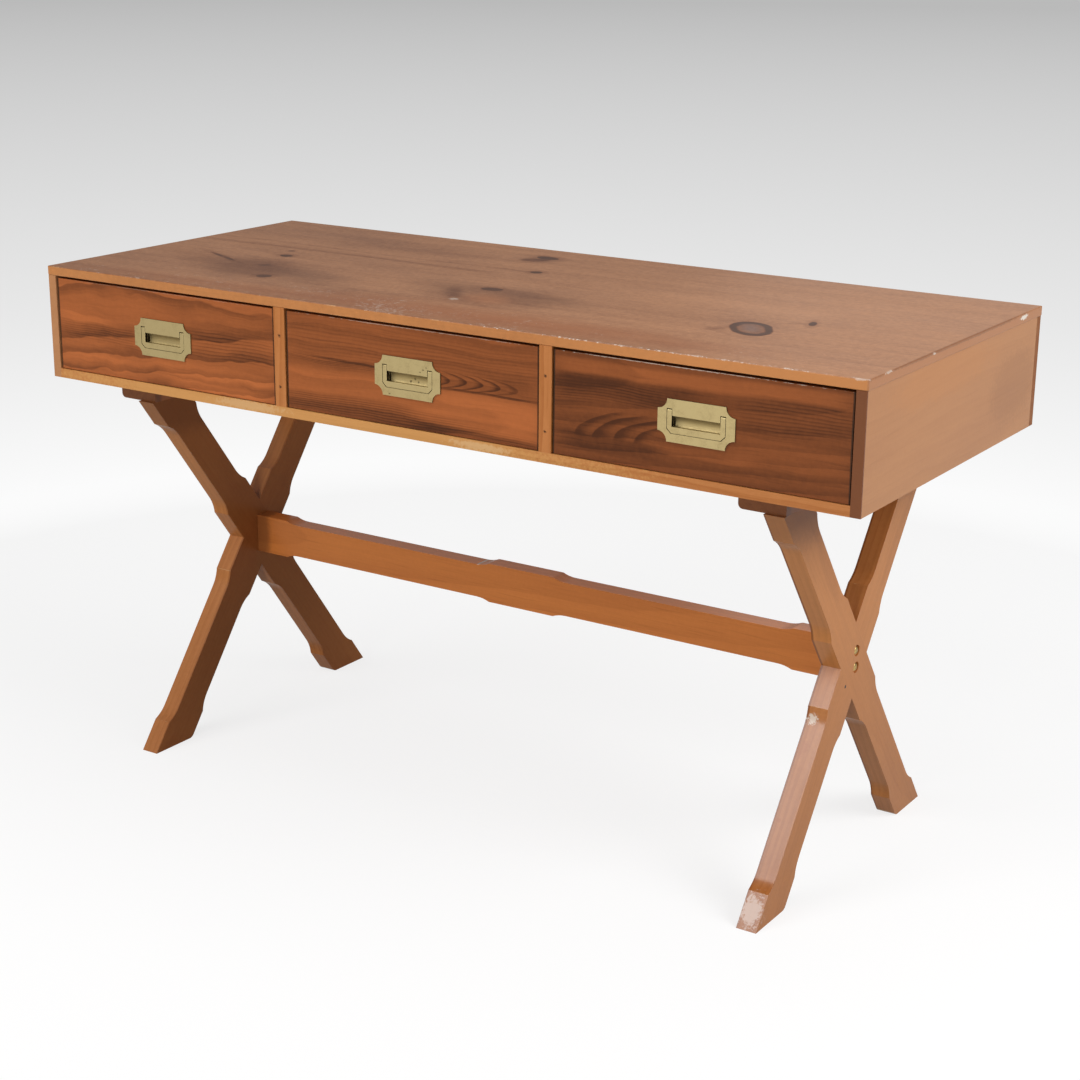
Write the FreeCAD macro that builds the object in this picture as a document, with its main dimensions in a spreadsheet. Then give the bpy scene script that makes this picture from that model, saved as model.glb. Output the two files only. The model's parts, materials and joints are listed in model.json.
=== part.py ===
import FreeCAD, Part
import Sketcher
import os
import re

# Campaign desk: a pine case with three drawers on two crossed-leg trestles and a stretcher.
# Millimetres. +Z is up, the drawers open towards -Y, and the origin is on the floor under the middle.

# Driving sizes: alias, value, meaning
SIZES = [
    ("desk_width", 1320, "over the ends of the top board"),
    ("desk_depth", 560, "front edge to back panel"),
    ("desk_height", 750, "floor to the top face"),
    ("case_height", 166.5, "underside of the case to the top face"),
    ("top_thickness", 13.5, "top board"),
    ("top_overhang", 1.2, "top board past each side panel"),
    ("side_thickness", 14, "side panels"),
    ("bottom_thickness", 13.8, "bottom board"),
    ("back_thickness", 13, "back panel"),
    ("divider_thickness", 19, "dividers and their facings"),
    ("facing_depth", 12, "facing strip on a divider's front edge"),
    ("nail_radius", 1.1, "nails of facings and back panel"),
    ("nail_reach", 16, "nail past the piece that it holds"),
    ("fixing_fit", 0.03, "radial room round nails, screws, bolts and pins that stay put"),
    ("stop_width", 40, "drawer stop along X"),
    ("stop_depth", 20, "drawer stop along Y"),
    ("stop_height", 14, "drawer stop"),
    ("stop_inset", 30, "drawer stop from the side of its bay"),
    ("front_side_gap", 2, "drawer front to the side of its bay"),
    ("front_top_gap", 3.5, "drawer front to the top board"),
    ("front_bottom_gap", 1, "drawer front to the bottom board"),
    ("front_recess", 2, "drawer front behind the case's front edges"),
    ("front_thickness", 19, "drawer front"),
    ("rebate_depth", 8, "rebate for a drawer side in the back of the front"),
    ("slide_gap", 0.3, "drawer side to the bottom board, and drawer to its stop"),
    ("box_inset", 0.8, "drawer side behind the end of the front"),
    ("box_thickness", 11, "drawer sides and back"),
    ("box_height", 112, "drawer sides"),
    ("drawer_rear_gap", 56, "drawer to the back panel"),
    ("panel_thickness", 5, "drawer bottom"),
    ("panel_fit", 0.15, "room round the drawer bottom in its grooves"),
    ("groove_depth", 5, "groove for the drawer bottom"),
    ("groove_lift", 9, "groove above a drawer side's lower edge"),
    ("plate_width", 107.5, "pull plate"),
    ("plate_height", 54.3, "pull plate"),
    ("plate_thickness", 2, "pull plate proud of the drawer front"),
    ("plate_notch", 13, "radius of the scooped corners of the plate"),
    ("cup_width", 96, "cup behind the plate"),
    ("cup_height", 39, "cup behind the plate"),
    ("cup_drop", 1.6, "middle of the cup below the middle of the plate"),
    ("cup_depth", 11, "cup behind the drawer front's face"),
    ("cup_top_chamfer", 5, "upper corners of the cup"),
    ("cup_foot_chamfer", 9, "lower corners of the cup"),
    ("cup_fit", 0.3, "room round the cup in the drawer front"),
    ("bail_width", 80.8, "bail over its arms"),
    ("bail_arm", 6.6, "width of the bail's arms"),
    ("bail_grip", 8, "height of the bail's grip"),
    ("bail_top", 14.5, "top of the bail's arms above the middle of the plate"),
    ("bail_foot", 15.8, "bottom of the bail below the middle of the plate"),
    ("bail_thickness", 5, "bail"),
    ("bail_chamfer", 6, "lower corners of the bail"),
    ("bail_gap", 0.6, "room round the bail in its groove"),
    ("pin_radius", 1.2, "pivot pins of the bail"),
    ("pin_reach", 2.2, "pivot pin past each side of a bail arm"),
    ("pin_running_fit", 0.06, "radial room of a bail arm on its pin"),
    ("scoop_radius", 10.2, "finger scoop, whose axis lies in the plate's face"),
    ("scoop_drop", 3.9, "axis of the finger scoop below the middle of the plate"),
    ("scoop_width", 67, "finger scoop"),
    ("pull_screw_radius", 2, "screws that hold a plate"),
    ("pull_screw_head", 4, "radius of their heads"),
    ("pull_screw_head_height", 2.6, "their heads"),
    ("pull_screw_grip", 8, "screw inside the cup"),
    ("pull_screw_spread", 44, "between the two screws of a plate"),
    ("pull_screw_rise", 11, "screws above the middle of the plate"),
    ("frame_inset", 123.4, "outer face of a trestle behind the end of the top board"),
    ("leg_thickness", 29, "legs and stretcher are sawn from this stock"),
    ("leg_width", 65, "legs at the crossing, feet and tops"),
    ("leg_relief", 7.3, "depth of the long reliefs in the legs' edges"),
    ("lean_angle", 36.6, "legs from upright, in degrees"),
    ("crossing_height", 295.5, "middle of the crossing above the floor"),
    ("cove_radius", 55, "coves that end the reliefs"),
    ("inner_relief_start", 97, "reliefs inside the X, from the crossing along the leg"),
    ("outer_relief_start", 82, "reliefs outside the X, from the crossing along the leg"),
    ("inner_relief_top", 275, "end of the inside relief towards the top"),
    ("outer_relief_top", 292, "end of the outside relief towards the top"),
    ("inner_relief_foot", 299, "end of the inside relief towards the foot"),
    ("outer_relief_foot", 340, "end of the outside relief towards the foot"),
    ("foot_round", 12, "inside corner of each foot"),
    ("batten_width", 67, "batten along X"),
    ("batten_length", 452, "batten along Y"),
    ("batten_height", 31, "batten"),
    ("batten_round", 7, "lower free edge of the batten"),
    ("wood_screw_radius", 2.2, "screws of the battens and legs"),
    ("wood_screw_head", 4.4, "radius of their heads"),
    ("wood_screw_head_height", 2.8, "their heads"),
    ("case_screw_grip", 9, "batten screw inside the bottom board"),
    ("case_screw_spread", 130, "between batten screws along Y"),
    ("leg_screw_grip", 28, "leg screw inside the leg"),
    ("leg_screw_shift", 8, "leg screw from the middle of the leg's top towards the crossing"),
    ("stretcher_height", 60, "stretcher at its ends and middle"),
    ("stretcher_relief", 4.5, "depth of the long reliefs in the stretcher's edges"),
    ("stretcher_end_pad", 60, "full-height stretch at each end"),
    ("stretcher_middle_pad", 114, "full-height stretch in the middle"),
    ("stretcher_setback", 8, "stretcher and bolts behind the middle of the crossing"),
    ("bolt_radius", 3, "bolts of the stretcher"),
    ("bolt_pitch", 24, "between the two bolts of a crossing"),
    ("bolt_reach", 42, "bolt inside the stretcher"),
    ("bolt_head_radius", 6, "domed heads"),
    ("bolt_head_height", 3.4, "domed heads"),
    ("bolt_seat_radius", 8, "counterbore for a bolt head"),
    ("bolt_seat_depth", 3, "counterbore for a bolt head"),
    ("nut_radius", 5, "barrel nuts"),
    ("nut_length", 20, "barrel nuts"),
    ("nut_distance", 28, "barrel nut from the end of the stretcher"),
    ("cut_overrun", 5, "how far every cutter passes the face that it enters by"),
]

NAIL_HEIGHT_SHARES = (0.2, 0.72)
BACK_NAIL_SHARES = (0.15, 0.5, 0.85)
CASE_SCREW_STEPS = (-1.5, -0.5, 0.5, 1.5)
BAIL_ROUND_SHARE = 0.48

# Planes of the case and the drawers, as formulas of the driving sizes
UNDERSIDE = "(desk_height - case_height)"
SHELF = f"({UNDERSIDE} + bottom_thickness)"
CEILING = "(desk_height - top_thickness)"
CASE_FRONT = "(-desk_depth / 2)"
CASE_REAR = "(desk_depth / 2 - back_thickness)"
SIDE_OUTER = "(desk_width / 2 - top_overhang)"
SIDE_INNER = f"({SIDE_OUTER} - side_thickness)"
BAY_WIDTH = f"((2 * {SIDE_INNER} - 2 * divider_thickness) / 3)"
BAY_HEIGHT = f"({CEILING} - {SHELF})"
BAY_STEP = f"({BAY_WIDTH} + divider_thickness)"
DIVIDER_PLACE = f"({BAY_STEP} / 2)"
FRONT_FACE = f"({CASE_FRONT} + front_recess)"
FRONT_BACK = f"({FRONT_FACE} + front_thickness)"
FRONT_HALF = f"({BAY_WIDTH} / 2 - front_side_gap)"
FRONT_LOW = f"({SHELF} + front_bottom_gap)"
FRONT_HIGH = f"({CEILING} - front_top_gap)"
REBATE_FLOOR = f"({FRONT_BACK} - rebate_depth)"
BOX_LOW = f"({SHELF} + slide_gap)"
BOX_END = f"({CASE_REAR} - drawer_rear_gap)"
BOX_OUTER = f"({FRONT_HALF} - box_inset)"
BOX_INNER = f"({BOX_OUTER} - box_thickness)"
GROOVE_LOW = f"({BOX_LOW} + groove_lift)"
GROOVE_HEIGHT = "(panel_thickness + 2 * panel_fit)"
PULL_LEVEL = f"(({FRONT_LOW} + {FRONT_HIGH}) / 2)"
PLATE_FACE = f"({FRONT_FACE} - plate_thickness)"
PIVOT_DEPTH = f"({PLATE_FACE} + bail_thickness / 2)"
PIVOT_LEVEL = f"({PULL_LEVEL} + bail_top - bail_thickness / 2)"
LEG_TOP = f"({UNDERSIDE} - batten_height)"
FRAME_HALF = "(desk_width / 2 - frame_inset)"
STRETCHER_HALF = f"({FRAME_HALF} - leg_thickness)"

doc = FreeCAD.newDocument("campaign_desk")
sheet = doc.addObject("Spreadsheet::Sheet", "Sizes")
for row, (alias, value, meaning) in enumerate(SIZES, start=1):
    sheet.set(f"A{row}", alias)
    sheet.set(f"B{row}", str(value))
    sheet.set(f"C{row}", meaning)
    sheet.setAlias(f"B{row}", alias)
doc.recompute()

WORDS = re.compile(r"\b(" + "|".join(alias for alias, value, meaning in SIZES) + r")\b")
X_WAY = FreeCAD.Vector(1, 0, 0)
Y_WAY = FreeCAD.Vector(0, 1, 0)
Z_WAY = FreeCAD.Vector(0, 0, 1)
pieces = []


def bound(formula):
    """The formula with every size written as a cell of the sheet."""
    return WORDS.sub(r"Sizes.\1", formula)


def worth(formula):
    """The number that a formula gives now."""
    return float(sheet.evalExpression(bound(formula)))


def bind(item, name, formula):
    """Tie a property of an object to a formula."""
    item.setExpression(name, bound(formula))


def place(item, spot):
    """Tie an object's place to three formulas."""
    for axis, formula in zip("xyz", spot):
        bind(item, f"Placement.Base.{axis}", formula)


def keep(item, label):
    """Name a finished sub-part and list it for writing."""
    item.Label = label
    pieces.append(item)
    return item


def board(name, size, corner):
    """A plain board or block from its size and its low corner."""
    block = doc.addObject("Part::Box", name)
    for side, formula in zip(("Length", "Width", "Height"), size):
        bind(block, side, formula)
    place(block, corner)
    return block


def between(name, low, high):
    """A board between two opposite corners."""
    size = [f"{top} - ({bottom})" for bottom, top in zip(low, high)]
    return board(name, size, low)


def rod(name, radius, length, spot, way):
    """A round bar that starts at a spot and runs one way."""
    bar = doc.addObject("Part::Cylinder", name)
    bind(bar, "Radius", radius)
    bind(bar, "Height", length)
    bar.Placement.Rotation = FreeCAD.Rotation(Z_WAY, way)
    place(bar, spot)
    return bar


def dome(name, radius, height, spot, way):
    """A round cap that stands on a spot and bulges one way."""
    ball_radius = f"((({radius}) ^ 2 + ({height}) ^ 2) / (2 * ({height})))"
    sunk = f"({ball_radius} - ({height}))"
    cap = doc.addObject("Part::Sphere", name)
    bind(cap, "Radius", ball_radius)
    bind(cap, "Angle1", f"asin({sunk} / {ball_radius})")
    cap.Placement.Rotation = FreeCAD.Rotation(Z_WAY, way)
    place(cap, [f"{part} - ({step:g}) * {sunk}" for part, step in zip(spot, way)])
    return cap


def joined(name, items):
    """Several solids fused into one."""
    whole = doc.addObject("Part::MultiFuse", name)
    whole.Shapes = items
    return whole


def group(name, items):
    """Several separate solids kept side by side."""
    bundle = doc.addObject("Part::Compound", name)
    bundle.Links = items
    return bundle


def cut(name, base, cutters):
    """A base with every cutter taken away."""
    result = doc.addObject("Part::Cut", name)
    result.Base = base
    result.Tool = cutters[0] if len(cutters) == 1 else group(f"{name}_cutters", cutters)
    return result


def screw(name, spot, way, shank, length, head, head_height):
    """A screw whose head is seated at a spot and whose shank runs one way."""
    return joined(name, [rod(f"{name}_shank", shank, length, spot, way),
                         rod(f"{name}_head", head, head_height, spot, -way)])


def sketch_in(body, name, role):
    """An empty sketch on one of the body's own origin planes."""
    sketch = body.newObject("Sketcher::SketchObject", name)
    plane = next(item for item in body.Origin.OriginFeatures if item.Role == role)
    sketch.AttachmentSupport = [(plane, "")]
    sketch.MapMode = "FlatFace"
    return sketch


def measure(sketch, kind, geometry, point, formula):
    """Hold one coordinate of a point to a formula, from the sketch's origin."""
    index = sketch.addConstraint(Sketcher.Constraint(kind, -1, 1, geometry, point, worth(formula)))
    bind(sketch, f"Constraints[{index}]", formula)


def outline(sketch, corners):
    """A closed outline of straight lines, each corner held by two formulas."""
    spots = [FreeCAD.Vector(worth(across), worth(along), 0) for across, along in corners]
    count = len(spots)
    lines = [sketch.addGeometry(Part.LineSegment(spots[i], spots[(i + 1) % count])) for i in range(count)]
    for i, (across, along) in enumerate(corners):
        sketch.addConstraint(Sketcher.Constraint("Coincident", lines[i - 1], 2, lines[i], 1))
        measure(sketch, "DistanceX", lines[i], 1, across)
        measure(sketch, "DistanceY", lines[i], 1, along)


def circle(sketch, radius, across, along):
    """A full circle held by its radius and its middle."""
    middle = FreeCAD.Vector(worth(across), worth(along), 0)
    ring = sketch.addGeometry(Part.Circle(middle, Z_WAY, worth(radius)))
    index = sketch.addConstraint(Sketcher.Constraint("Radius", ring, worth(radius)))
    bind(sketch, f"Constraints[{index}]", radius)
    measure(sketch, "DistanceX", ring, 3, across)
    measure(sketch, "DistanceY", ring, 3, along)


def nearest_end(sketch, geometry, spot):
    """Which end of a line or arc lies at a spot."""
    return min((1, 2), key=lambda end: sketch.getPoint(geometry, end).distanceToPoint(spot))


def trough(sketch, upright, floor, outward, start, end, depth):
    """A long shallow relief with a cove at each end, cut into an edge of a board.

    It runs along the sketch's Y where upright is true and along X otherwise. Its floor is at a
    formula across that, it opens outward (+1 or -1), and it leaves the edge at start and end.
    """
    cove = f"sqrt(2 * cove_radius * {depth} - ({depth}) ^ 2)"
    run_start = f"({start} + {cove})"
    run_end = f"({end} - {cove})"

    def spot(along, across):
        return FreeCAD.Vector(across, along, 0) if upright else FreeCAD.Vector(along, across, 0)

    low, high, level, radius = worth(run_start), worth(run_end), worth(floor), worth("cove_radius")
    rim = level + outward * radius
    run = sketch.addGeometry(Part.LineSegment(spot(low, level), spot(high, level)))
    mouth = sketch.addGeometry(Part.LineSegment(spot(low - radius, rim), spot(high + radius, rim)))
    for along, turn, run_point, mouth_point in ((low, -1, 1, 1), (high, 1, 2, 2)):
        middle, foot, lip = spot(along, rim), spot(along, level), spot(along + turn * radius, rim)
        first, second = (foot - middle), (lip - middle)
        anticlockwise = first.cross(second).z > 0
        begin, finish = (first, second) if anticlockwise else (second, first)
        ring = Part.Circle(middle, Z_WAY, radius)
        arc = sketch.addGeometry(Part.ArcOfCircle(ring, ring.parameter(middle + begin),
                                                  ring.parameter(middle + finish)))
        foot_end, lip_end = nearest_end(sketch, arc, foot), nearest_end(sketch, arc, lip)
        sketch.addConstraint(Sketcher.Constraint("Tangent", run, run_point, arc, foot_end))
        sketch.addConstraint(Sketcher.Constraint("Coincident", mouth, mouth_point, arc, lip_end))
        sketch.addConstraint(Sketcher.Constraint("PointOnObject", arc, 3, mouth))
        index = sketch.addConstraint(Sketcher.Constraint("Radius", arc, radius))
        bind(sketch, f"Constraints[{index}]", "cove_radius")
    sketch.addConstraint(Sketcher.Constraint("Vertical" if upright else "Horizontal", run))
    along_kind, across_kind = ("DistanceY", "DistanceX") if upright else ("DistanceX", "DistanceY")
    measure(sketch, across_kind, run, 1, floor)
    measure(sketch, along_kind, run, 1, run_start)
    measure(sketch, along_kind, run, 2, run_end)


def pad(body, sketch, length, flipped):
    """Thicken a sketch into a solid."""
    solid = body.newObject("PartDesign::Pad", "Pad")
    solid.Profile = sketch
    solid.Reversed = flipped
    bind(solid, "Length", length)
    return solid


def pocket(body, sketch, length, flipped):
    """Cut a sketch into the body, to a depth or, with none given, right through."""
    hollow = body.newObject("PartDesign::Pocket", "Pocket")
    hollow.Profile = sketch
    hollow.Reversed = flipped
    if length is None:
        hollow.Type = "ThroughAll"
    else:
        bind(hollow, "Length", length)
    return hollow


def rounded(body, feature, spots, radius):
    """Round the edges of a feature whose middles lie at the given spots."""
    doc.recompute()
    names = []
    for spot in spots:
        middles = [edge.CenterOfMass.distanceToPoint(spot) for edge in feature.Shape.Edges]
        names.append(f"Edge{middles.index(min(middles)) + 1}")
    fillet = body.newObject("PartDesign::Fillet", "Fillet")
    fillet.Base = (feature, names)
    bind(fillet, "Radius", radius)
    return fillet


def prism(name, corners, depth, spot):
    """A body drawn in the XZ plane and thickened towards +Y, with its placed spot as origin."""
    body = doc.addObject("PartDesign::Body", name)
    sketch = sketch_in(body, f"{name}_outline", "XZ_Plane")
    outline(sketch, corners)
    pad(body, sketch, depth, True)
    place(body, spot)
    return body


def case_boards():
    """The boards of the case, with the holes of the screws and nails that they take."""
    keep(between("top", ["-desk_width / 2", CASE_FRONT, CEILING],
                 ["desk_width / 2", "desk_depth / 2", "desk_height"]), "top_board")
    floor = between("bottom", [f"-{SIDE_INNER}", CASE_FRONT, UNDERSIDE], [SIDE_INNER, CASE_REAR, SHELF])
    pilots = [rod("case_pilot", "wood_screw_radius + fixing_fit", "case_screw_grip + fixing_fit",
                  [x, y, UNDERSIDE], Z_WAY)
              for side in (-1, 1) for x, y in case_screw_spots(side)]
    keep(cut("bottom_drilled", floor, pilots), "bottom_board")
    back = between("back", [f"-{SIDE_OUTER}", CASE_REAR, UNDERSIDE], [SIDE_OUTER, "desk_depth / 2", CEILING])
    keep(cut("back_drilled", back, back_nails("nail_radius + fixing_fit")), "back_panel")
    for name, low, high in (("left", f"-{SIDE_OUTER}", f"-{SIDE_INNER}"), ("right", SIDE_INNER, SIDE_OUTER)):
        panel = between(f"{name}_side", [low, CASE_FRONT, UNDERSIDE], [high, CASE_REAR, CEILING])
        keep(cut(f"{name}_side_drilled", panel, back_nails("nail_radius + fixing_fit")),
             f"{name}_side_panel")
    keep(group("back_nail_group", back_nails("nail_radius")), "back_panel_nails")


def back_nails(radius):
    """Nails, or their holes, from the rear through the back panel into the side panels."""
    return [rod("back_nail", radius, "back_thickness + nail_reach",
                [f"{side} * ({SIDE_OUTER} + {SIDE_INNER}) / 2", "desk_depth / 2",
                 f"{UNDERSIDE} + {share} * ({CEILING} - {UNDERSIDE})"], -Y_WAY)
            for side in (-1, 1) for share in BACK_NAIL_SHARES]


def facing_nails(side, radius):
    """Nails, or their holes, from the front through a facing into its divider."""
    return [rod("facing_nail", radius, "facing_depth + nail_reach",
                [f"{side} * {DIVIDER_PLACE}", CASE_FRONT, f"{SHELF} + {share} * {BAY_HEIGHT}"], Y_WAY)
            for share in NAIL_HEIGHT_SHARES]


def dividers():
    """The two upright boards between the bays, each with its nailed facing."""
    nails = []
    for name, side in (("left", -1), ("right", 1)):
        low = f"{side} * {DIVIDER_PLACE} - divider_thickness / 2"
        high = f"{side} * {DIVIDER_PLACE} + divider_thickness / 2"
        facing_rear = f"{CASE_FRONT} + facing_depth"
        strip = between(f"{name}_strip", [low, CASE_FRONT, SHELF], [high, facing_rear, CEILING])
        upright = between(f"{name}_upright", [low, facing_rear, SHELF], [high, CASE_REAR, CEILING])
        holes = "nail_radius + fixing_fit"
        keep(cut(f"{name}_strip_drilled", strip, facing_nails(side, holes)), f"{name}_divider_facing")
        keep(cut(f"{name}_upright_drilled", upright, facing_nails(side, holes)), f"{name}_divider")
        nails += facing_nails(side, "nail_radius")
    keep(group("facing_nail_group", nails), "facing_nails")


def drawer_stops():
    """Two glued blocks behind each drawer."""
    blocks = []
    for bay in (-1, 0, 1):
        for side in (-1, 1):
            middle = f"{bay} * {BAY_STEP} + {side} * ({BAY_WIDTH} / 2 - stop_inset - stop_width / 2)"
            blocks.append(board("stop", ["stop_width", "stop_depth", "stop_height"],
                                [f"{middle} - stop_width / 2", f"{BOX_END} + slide_gap", SHELF]))
    keep(group("stop_group", blocks), "drawer_stops")


def cup_corners(grow):
    """The cup's outline: a block with its corners cut off, grown by a margin."""
    half_width = f"(cup_width / 2 + {grow})"
    top = f"(cup_height / 2 - cup_drop + {grow})"
    foot = f"(-cup_height / 2 - cup_drop - {grow})"
    top_near = f"({half_width} - cup_top_chamfer)"
    foot_near = f"({half_width} - cup_foot_chamfer)"
    return [(f"-{foot_near}", foot), (foot_near, foot), (half_width, f"{foot} + cup_foot_chamfer"),
            (half_width, f"{top} - cup_top_chamfer"), (top_near, top), (f"-{top_near}", top),
            (f"-{half_width}", f"{top} - cup_top_chamfer"), (f"-{half_width}", f"{foot} + cup_foot_chamfer")]


def bail_corners(grow):
    """The bail's U outline about the middle of the plate, grown by a margin."""
    outer = f"(bail_width / 2 + {grow})"
    inner = f"(bail_width / 2 - bail_arm - {grow})"
    top = f"(bail_top + {grow})"
    foot = f"(-bail_foot - {grow})"
    grip = f"(-bail_foot + bail_grip + {grow})"
    near = f"({outer} - bail_chamfer)"
    return [(f"-{near}", foot), (near, foot), (outer, f"{foot} + bail_chamfer"), (outer, top),
            (inner, top), (inner, grip), (f"-{inner}", grip), (f"-{inner}", top),
            (f"-{outer}", top), (f"-{outer}", f"{foot} + bail_chamfer")]


def pivot_rods(middle, radius, reach):
    """Short bars along the bail's axis, one through each arm and past it."""
    return [rod("pivot", radius, f"bail_arm + 2 * {reach}",
                [f"{middle} + {side} * (bail_width / 2 - bail_arm / 2) - (bail_arm / 2 + {reach})",
                 PIVOT_DEPTH, PIVOT_LEVEL], X_WAY)
            for side in (-1, 1)]


def pull_screw_spots(middle):
    """Where the screws of a plate are seated on the inside of the drawer front."""
    return [[f"{middle} + {side} * pull_screw_spread / 2", FRONT_BACK, f"{PULL_LEVEL} + pull_screw_rise"]
            for side in (-1, 1)]


def pull_screw_length():
    """From the inside of the drawer front to the screw's tip in the cup."""
    return "(front_thickness - cup_depth + pull_screw_grip)"


def pull_plate(name, middle):
    """The cast plate with its cup, the groove of the bail and the finger scoop."""
    face = board(f"{name}_face", ["plate_width", "plate_thickness", "plate_height"],
                 [f"{middle} - plate_width / 2", PLATE_FACE, f"{PULL_LEVEL} - plate_height / 2"])
    notches = [rod("notch", "plate_notch", "plate_thickness + 2 * cut_overrun",
                   [f"{middle} + {side} * plate_width / 2", f"{PLATE_FACE} - cut_overrun",
                    f"{PULL_LEVEL} + {level} * plate_height / 2"], Y_WAY)
               for side in (-1, 1) for level in (-1, 1)]
    cup = prism(f"{name}_cup", cup_corners("0"), "cup_depth", [middle, FRONT_FACE, PULL_LEVEL])
    casting = joined(f"{name}_casting", [cut(f"{name}_notched", face, notches), cup])
    groove = prism(f"{name}_groove", bail_corners("bail_gap"), "bail_thickness + bail_gap + cut_overrun",
                   [middle, f"{PLATE_FACE} - cut_overrun", PULL_LEVEL])
    scoop = rod(f"{name}_scoop", "scoop_radius", "scoop_width",
                [f"{middle} - scoop_width / 2", PLATE_FACE, f"{PULL_LEVEL} - scoop_drop"], X_WAY)
    pin_holes = pivot_rods(middle, "pin_radius + fixing_fit", "(pin_reach + fixing_fit)")
    screw_holes = [rod("screw_hole", "pull_screw_radius + fixing_fit",
                       f"{pull_screw_length()} + fixing_fit", spot, -Y_WAY)
                   for spot in pull_screw_spots(middle)]
    keep(cut(f"{name}_cast", casting, [groove, scoop] + pin_holes + screw_holes), f"{name}_pull_plate")
    keep(group(f"{name}_pin_pair", pivot_rods(middle, "pin_radius", "pin_reach")), f"{name}_pull_pins")
    screws = [screw("pull_screw", spot, -Y_WAY, "pull_screw_radius", pull_screw_length(),
                    "pull_screw_head", "pull_screw_head_height") for spot in pull_screw_spots(middle)]
    keep(group(f"{name}_screw_pair", screws), f"{name}_pull_screws")


def pull_bail(name, middle):
    """The U-shaped handle, its arms rounded about the pivot and bored for the pins."""
    body = prism(f"{name}_u", bail_corners("0"), "bail_thickness", [middle, PLATE_FACE, PULL_LEVEL])
    arm = worth("bail_width / 2 - bail_arm / 2")
    ends = [FreeCAD.Vector(worth(middle) + side * arm, worth(f"{PLATE_FACE} + {step} * bail_thickness"),
                           worth(f"{PULL_LEVEL} + bail_top"))
            for side in (-1, 1) for step in (0, 1)]
    doc.recompute()
    local = [body.Placement.inverse().multVec(spot) for spot in ends]
    rounded(body, body.Tip, local, f"{BAIL_ROUND_SHARE} * bail_thickness")
    bore = rod(f"{name}_bore", "pin_radius + pin_running_fit", "bail_width + 2 * cut_overrun",
               [f"{middle} - bail_width / 2 - cut_overrun", PIVOT_DEPTH, PIVOT_LEVEL], X_WAY)
    keep(cut(f"{name}_bored", body, [bore]), f"{name}_pull_bail")


def drawer_box(name, middle):
    """The drawer's front, sides, back and bottom."""
    front = between(f"{name}_front", [f"{middle} - {FRONT_HALF}", FRONT_FACE, FRONT_LOW],
                    [f"{middle} + {FRONT_HALF}", FRONT_BACK, FRONT_HIGH])
    rebates = [between("rebate", [f"{middle} + {low}", REBATE_FLOOR, f"{FRONT_LOW} - cut_overrun"],
                       [f"{middle} + {high}", f"{FRONT_BACK} + cut_overrun", f"{FRONT_HIGH} + cut_overrun"])
               for low, high in ((f"(-{FRONT_HALF} - cut_overrun)", f"(-{BOX_INNER})"),
                                 (BOX_INNER, f"({FRONT_HALF} + cut_overrun)"))]
    groove = between("front_groove", [f"{middle} - {FRONT_HALF}", f"{FRONT_BACK} - groove_depth", GROOVE_LOW],
                     [f"{middle} + {FRONT_HALF}", f"{FRONT_BACK} + cut_overrun",
                      f"{GROOVE_LOW} + {GROOVE_HEIGHT}"])
    mortise = prism(f"{name}_mortise", cup_corners("cup_fit"), "cup_depth + cut_overrun",
                    [middle, f"{FRONT_FACE} - cut_overrun", PULL_LEVEL])
    screw_holes = [rod("front_hole", "pull_screw_radius + fixing_fit", "front_thickness", spot, -Y_WAY)
                   for spot in pull_screw_spots(middle)]
    keep(cut(f"{name}_front_cut", front, rebates + [groove, mortise] + screw_holes),
         f"{name}_drawer_front")
    for hand, low, high, groove_low, groove_high in (
            ("left", f"-{BOX_OUTER}", f"-{BOX_INNER}", f"-({BOX_INNER} + groove_depth)", f"-{BOX_INNER}"),
            ("right", BOX_INNER, BOX_OUTER, BOX_INNER, f"({BOX_INNER} + groove_depth)")):
        side = between(f"{name}_{hand}", [f"{middle} + ({low})", REBATE_FLOOR, BOX_LOW],
                       [f"{middle} + ({high})", BOX_END, f"{BOX_LOW} + box_height"])
        slot = between("side_groove",
                       [f"{middle} + ({groove_low})", f"{REBATE_FLOOR} - cut_overrun", GROOVE_LOW],
                       [f"{middle} + ({groove_high})", f"{BOX_END} + cut_overrun",
                        f"{GROOVE_LOW} + {GROOVE_HEIGHT}"])
        keep(cut(f"{name}_{hand}_cut", side, [slot]), f"{name}_drawer_{hand}_side")
    keep(between(f"{name}_back", [f"{middle} - {BOX_INNER}", f"{BOX_END} - box_thickness",
                                  f"{GROOVE_LOW} + {GROOVE_HEIGHT}"],
                 [f"{middle} + {BOX_INNER}", BOX_END, f"{BOX_LOW} + box_height"]), f"{name}_drawer_back")
    panel_half = f"({BOX_INNER} + groove_depth - panel_fit)"
    keep(between(f"{name}_panel", [f"{middle} - {panel_half}", f"{FRONT_BACK} - groove_depth + panel_fit",
                                   f"{GROOVE_LOW} + panel_fit"],
                 [f"{middle} + {panel_half}", BOX_END, f"{GROOVE_LOW} + panel_fit + panel_thickness"]),
         f"{name}_drawer_bottom")


def drawers():
    """Three drawers with their pulls."""
    for name, bay in (("left", -1), ("middle", 0), ("right", 1)):
        middle = f"({bay} * {BAY_STEP})"
        drawer_box(name, middle)
        pull_plate(name, middle)
        pull_bail(name, middle)


def leg_low(side):
    """The lower X face of a trestle's legs: -1 is the left trestle, 1 the right one."""
    return f"({side} * ({FRAME_HALF} - leg_thickness / 2) - leg_thickness / 2)"


def batten_low(side):
    """The lower X face of a trestle's batten, which is flush with the legs on the other face."""
    return f"({leg_low(side)} + leg_thickness - batten_width)"


def case_screw_spots(side):
    """Where the screws of a batten stand, in its free strip beside the legs."""
    x = f"{batten_low(side)} + (batten_width - leg_thickness) / 2"
    return [(x, f"{step} * case_screw_spread") for step in CASE_SCREW_STEPS]


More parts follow.
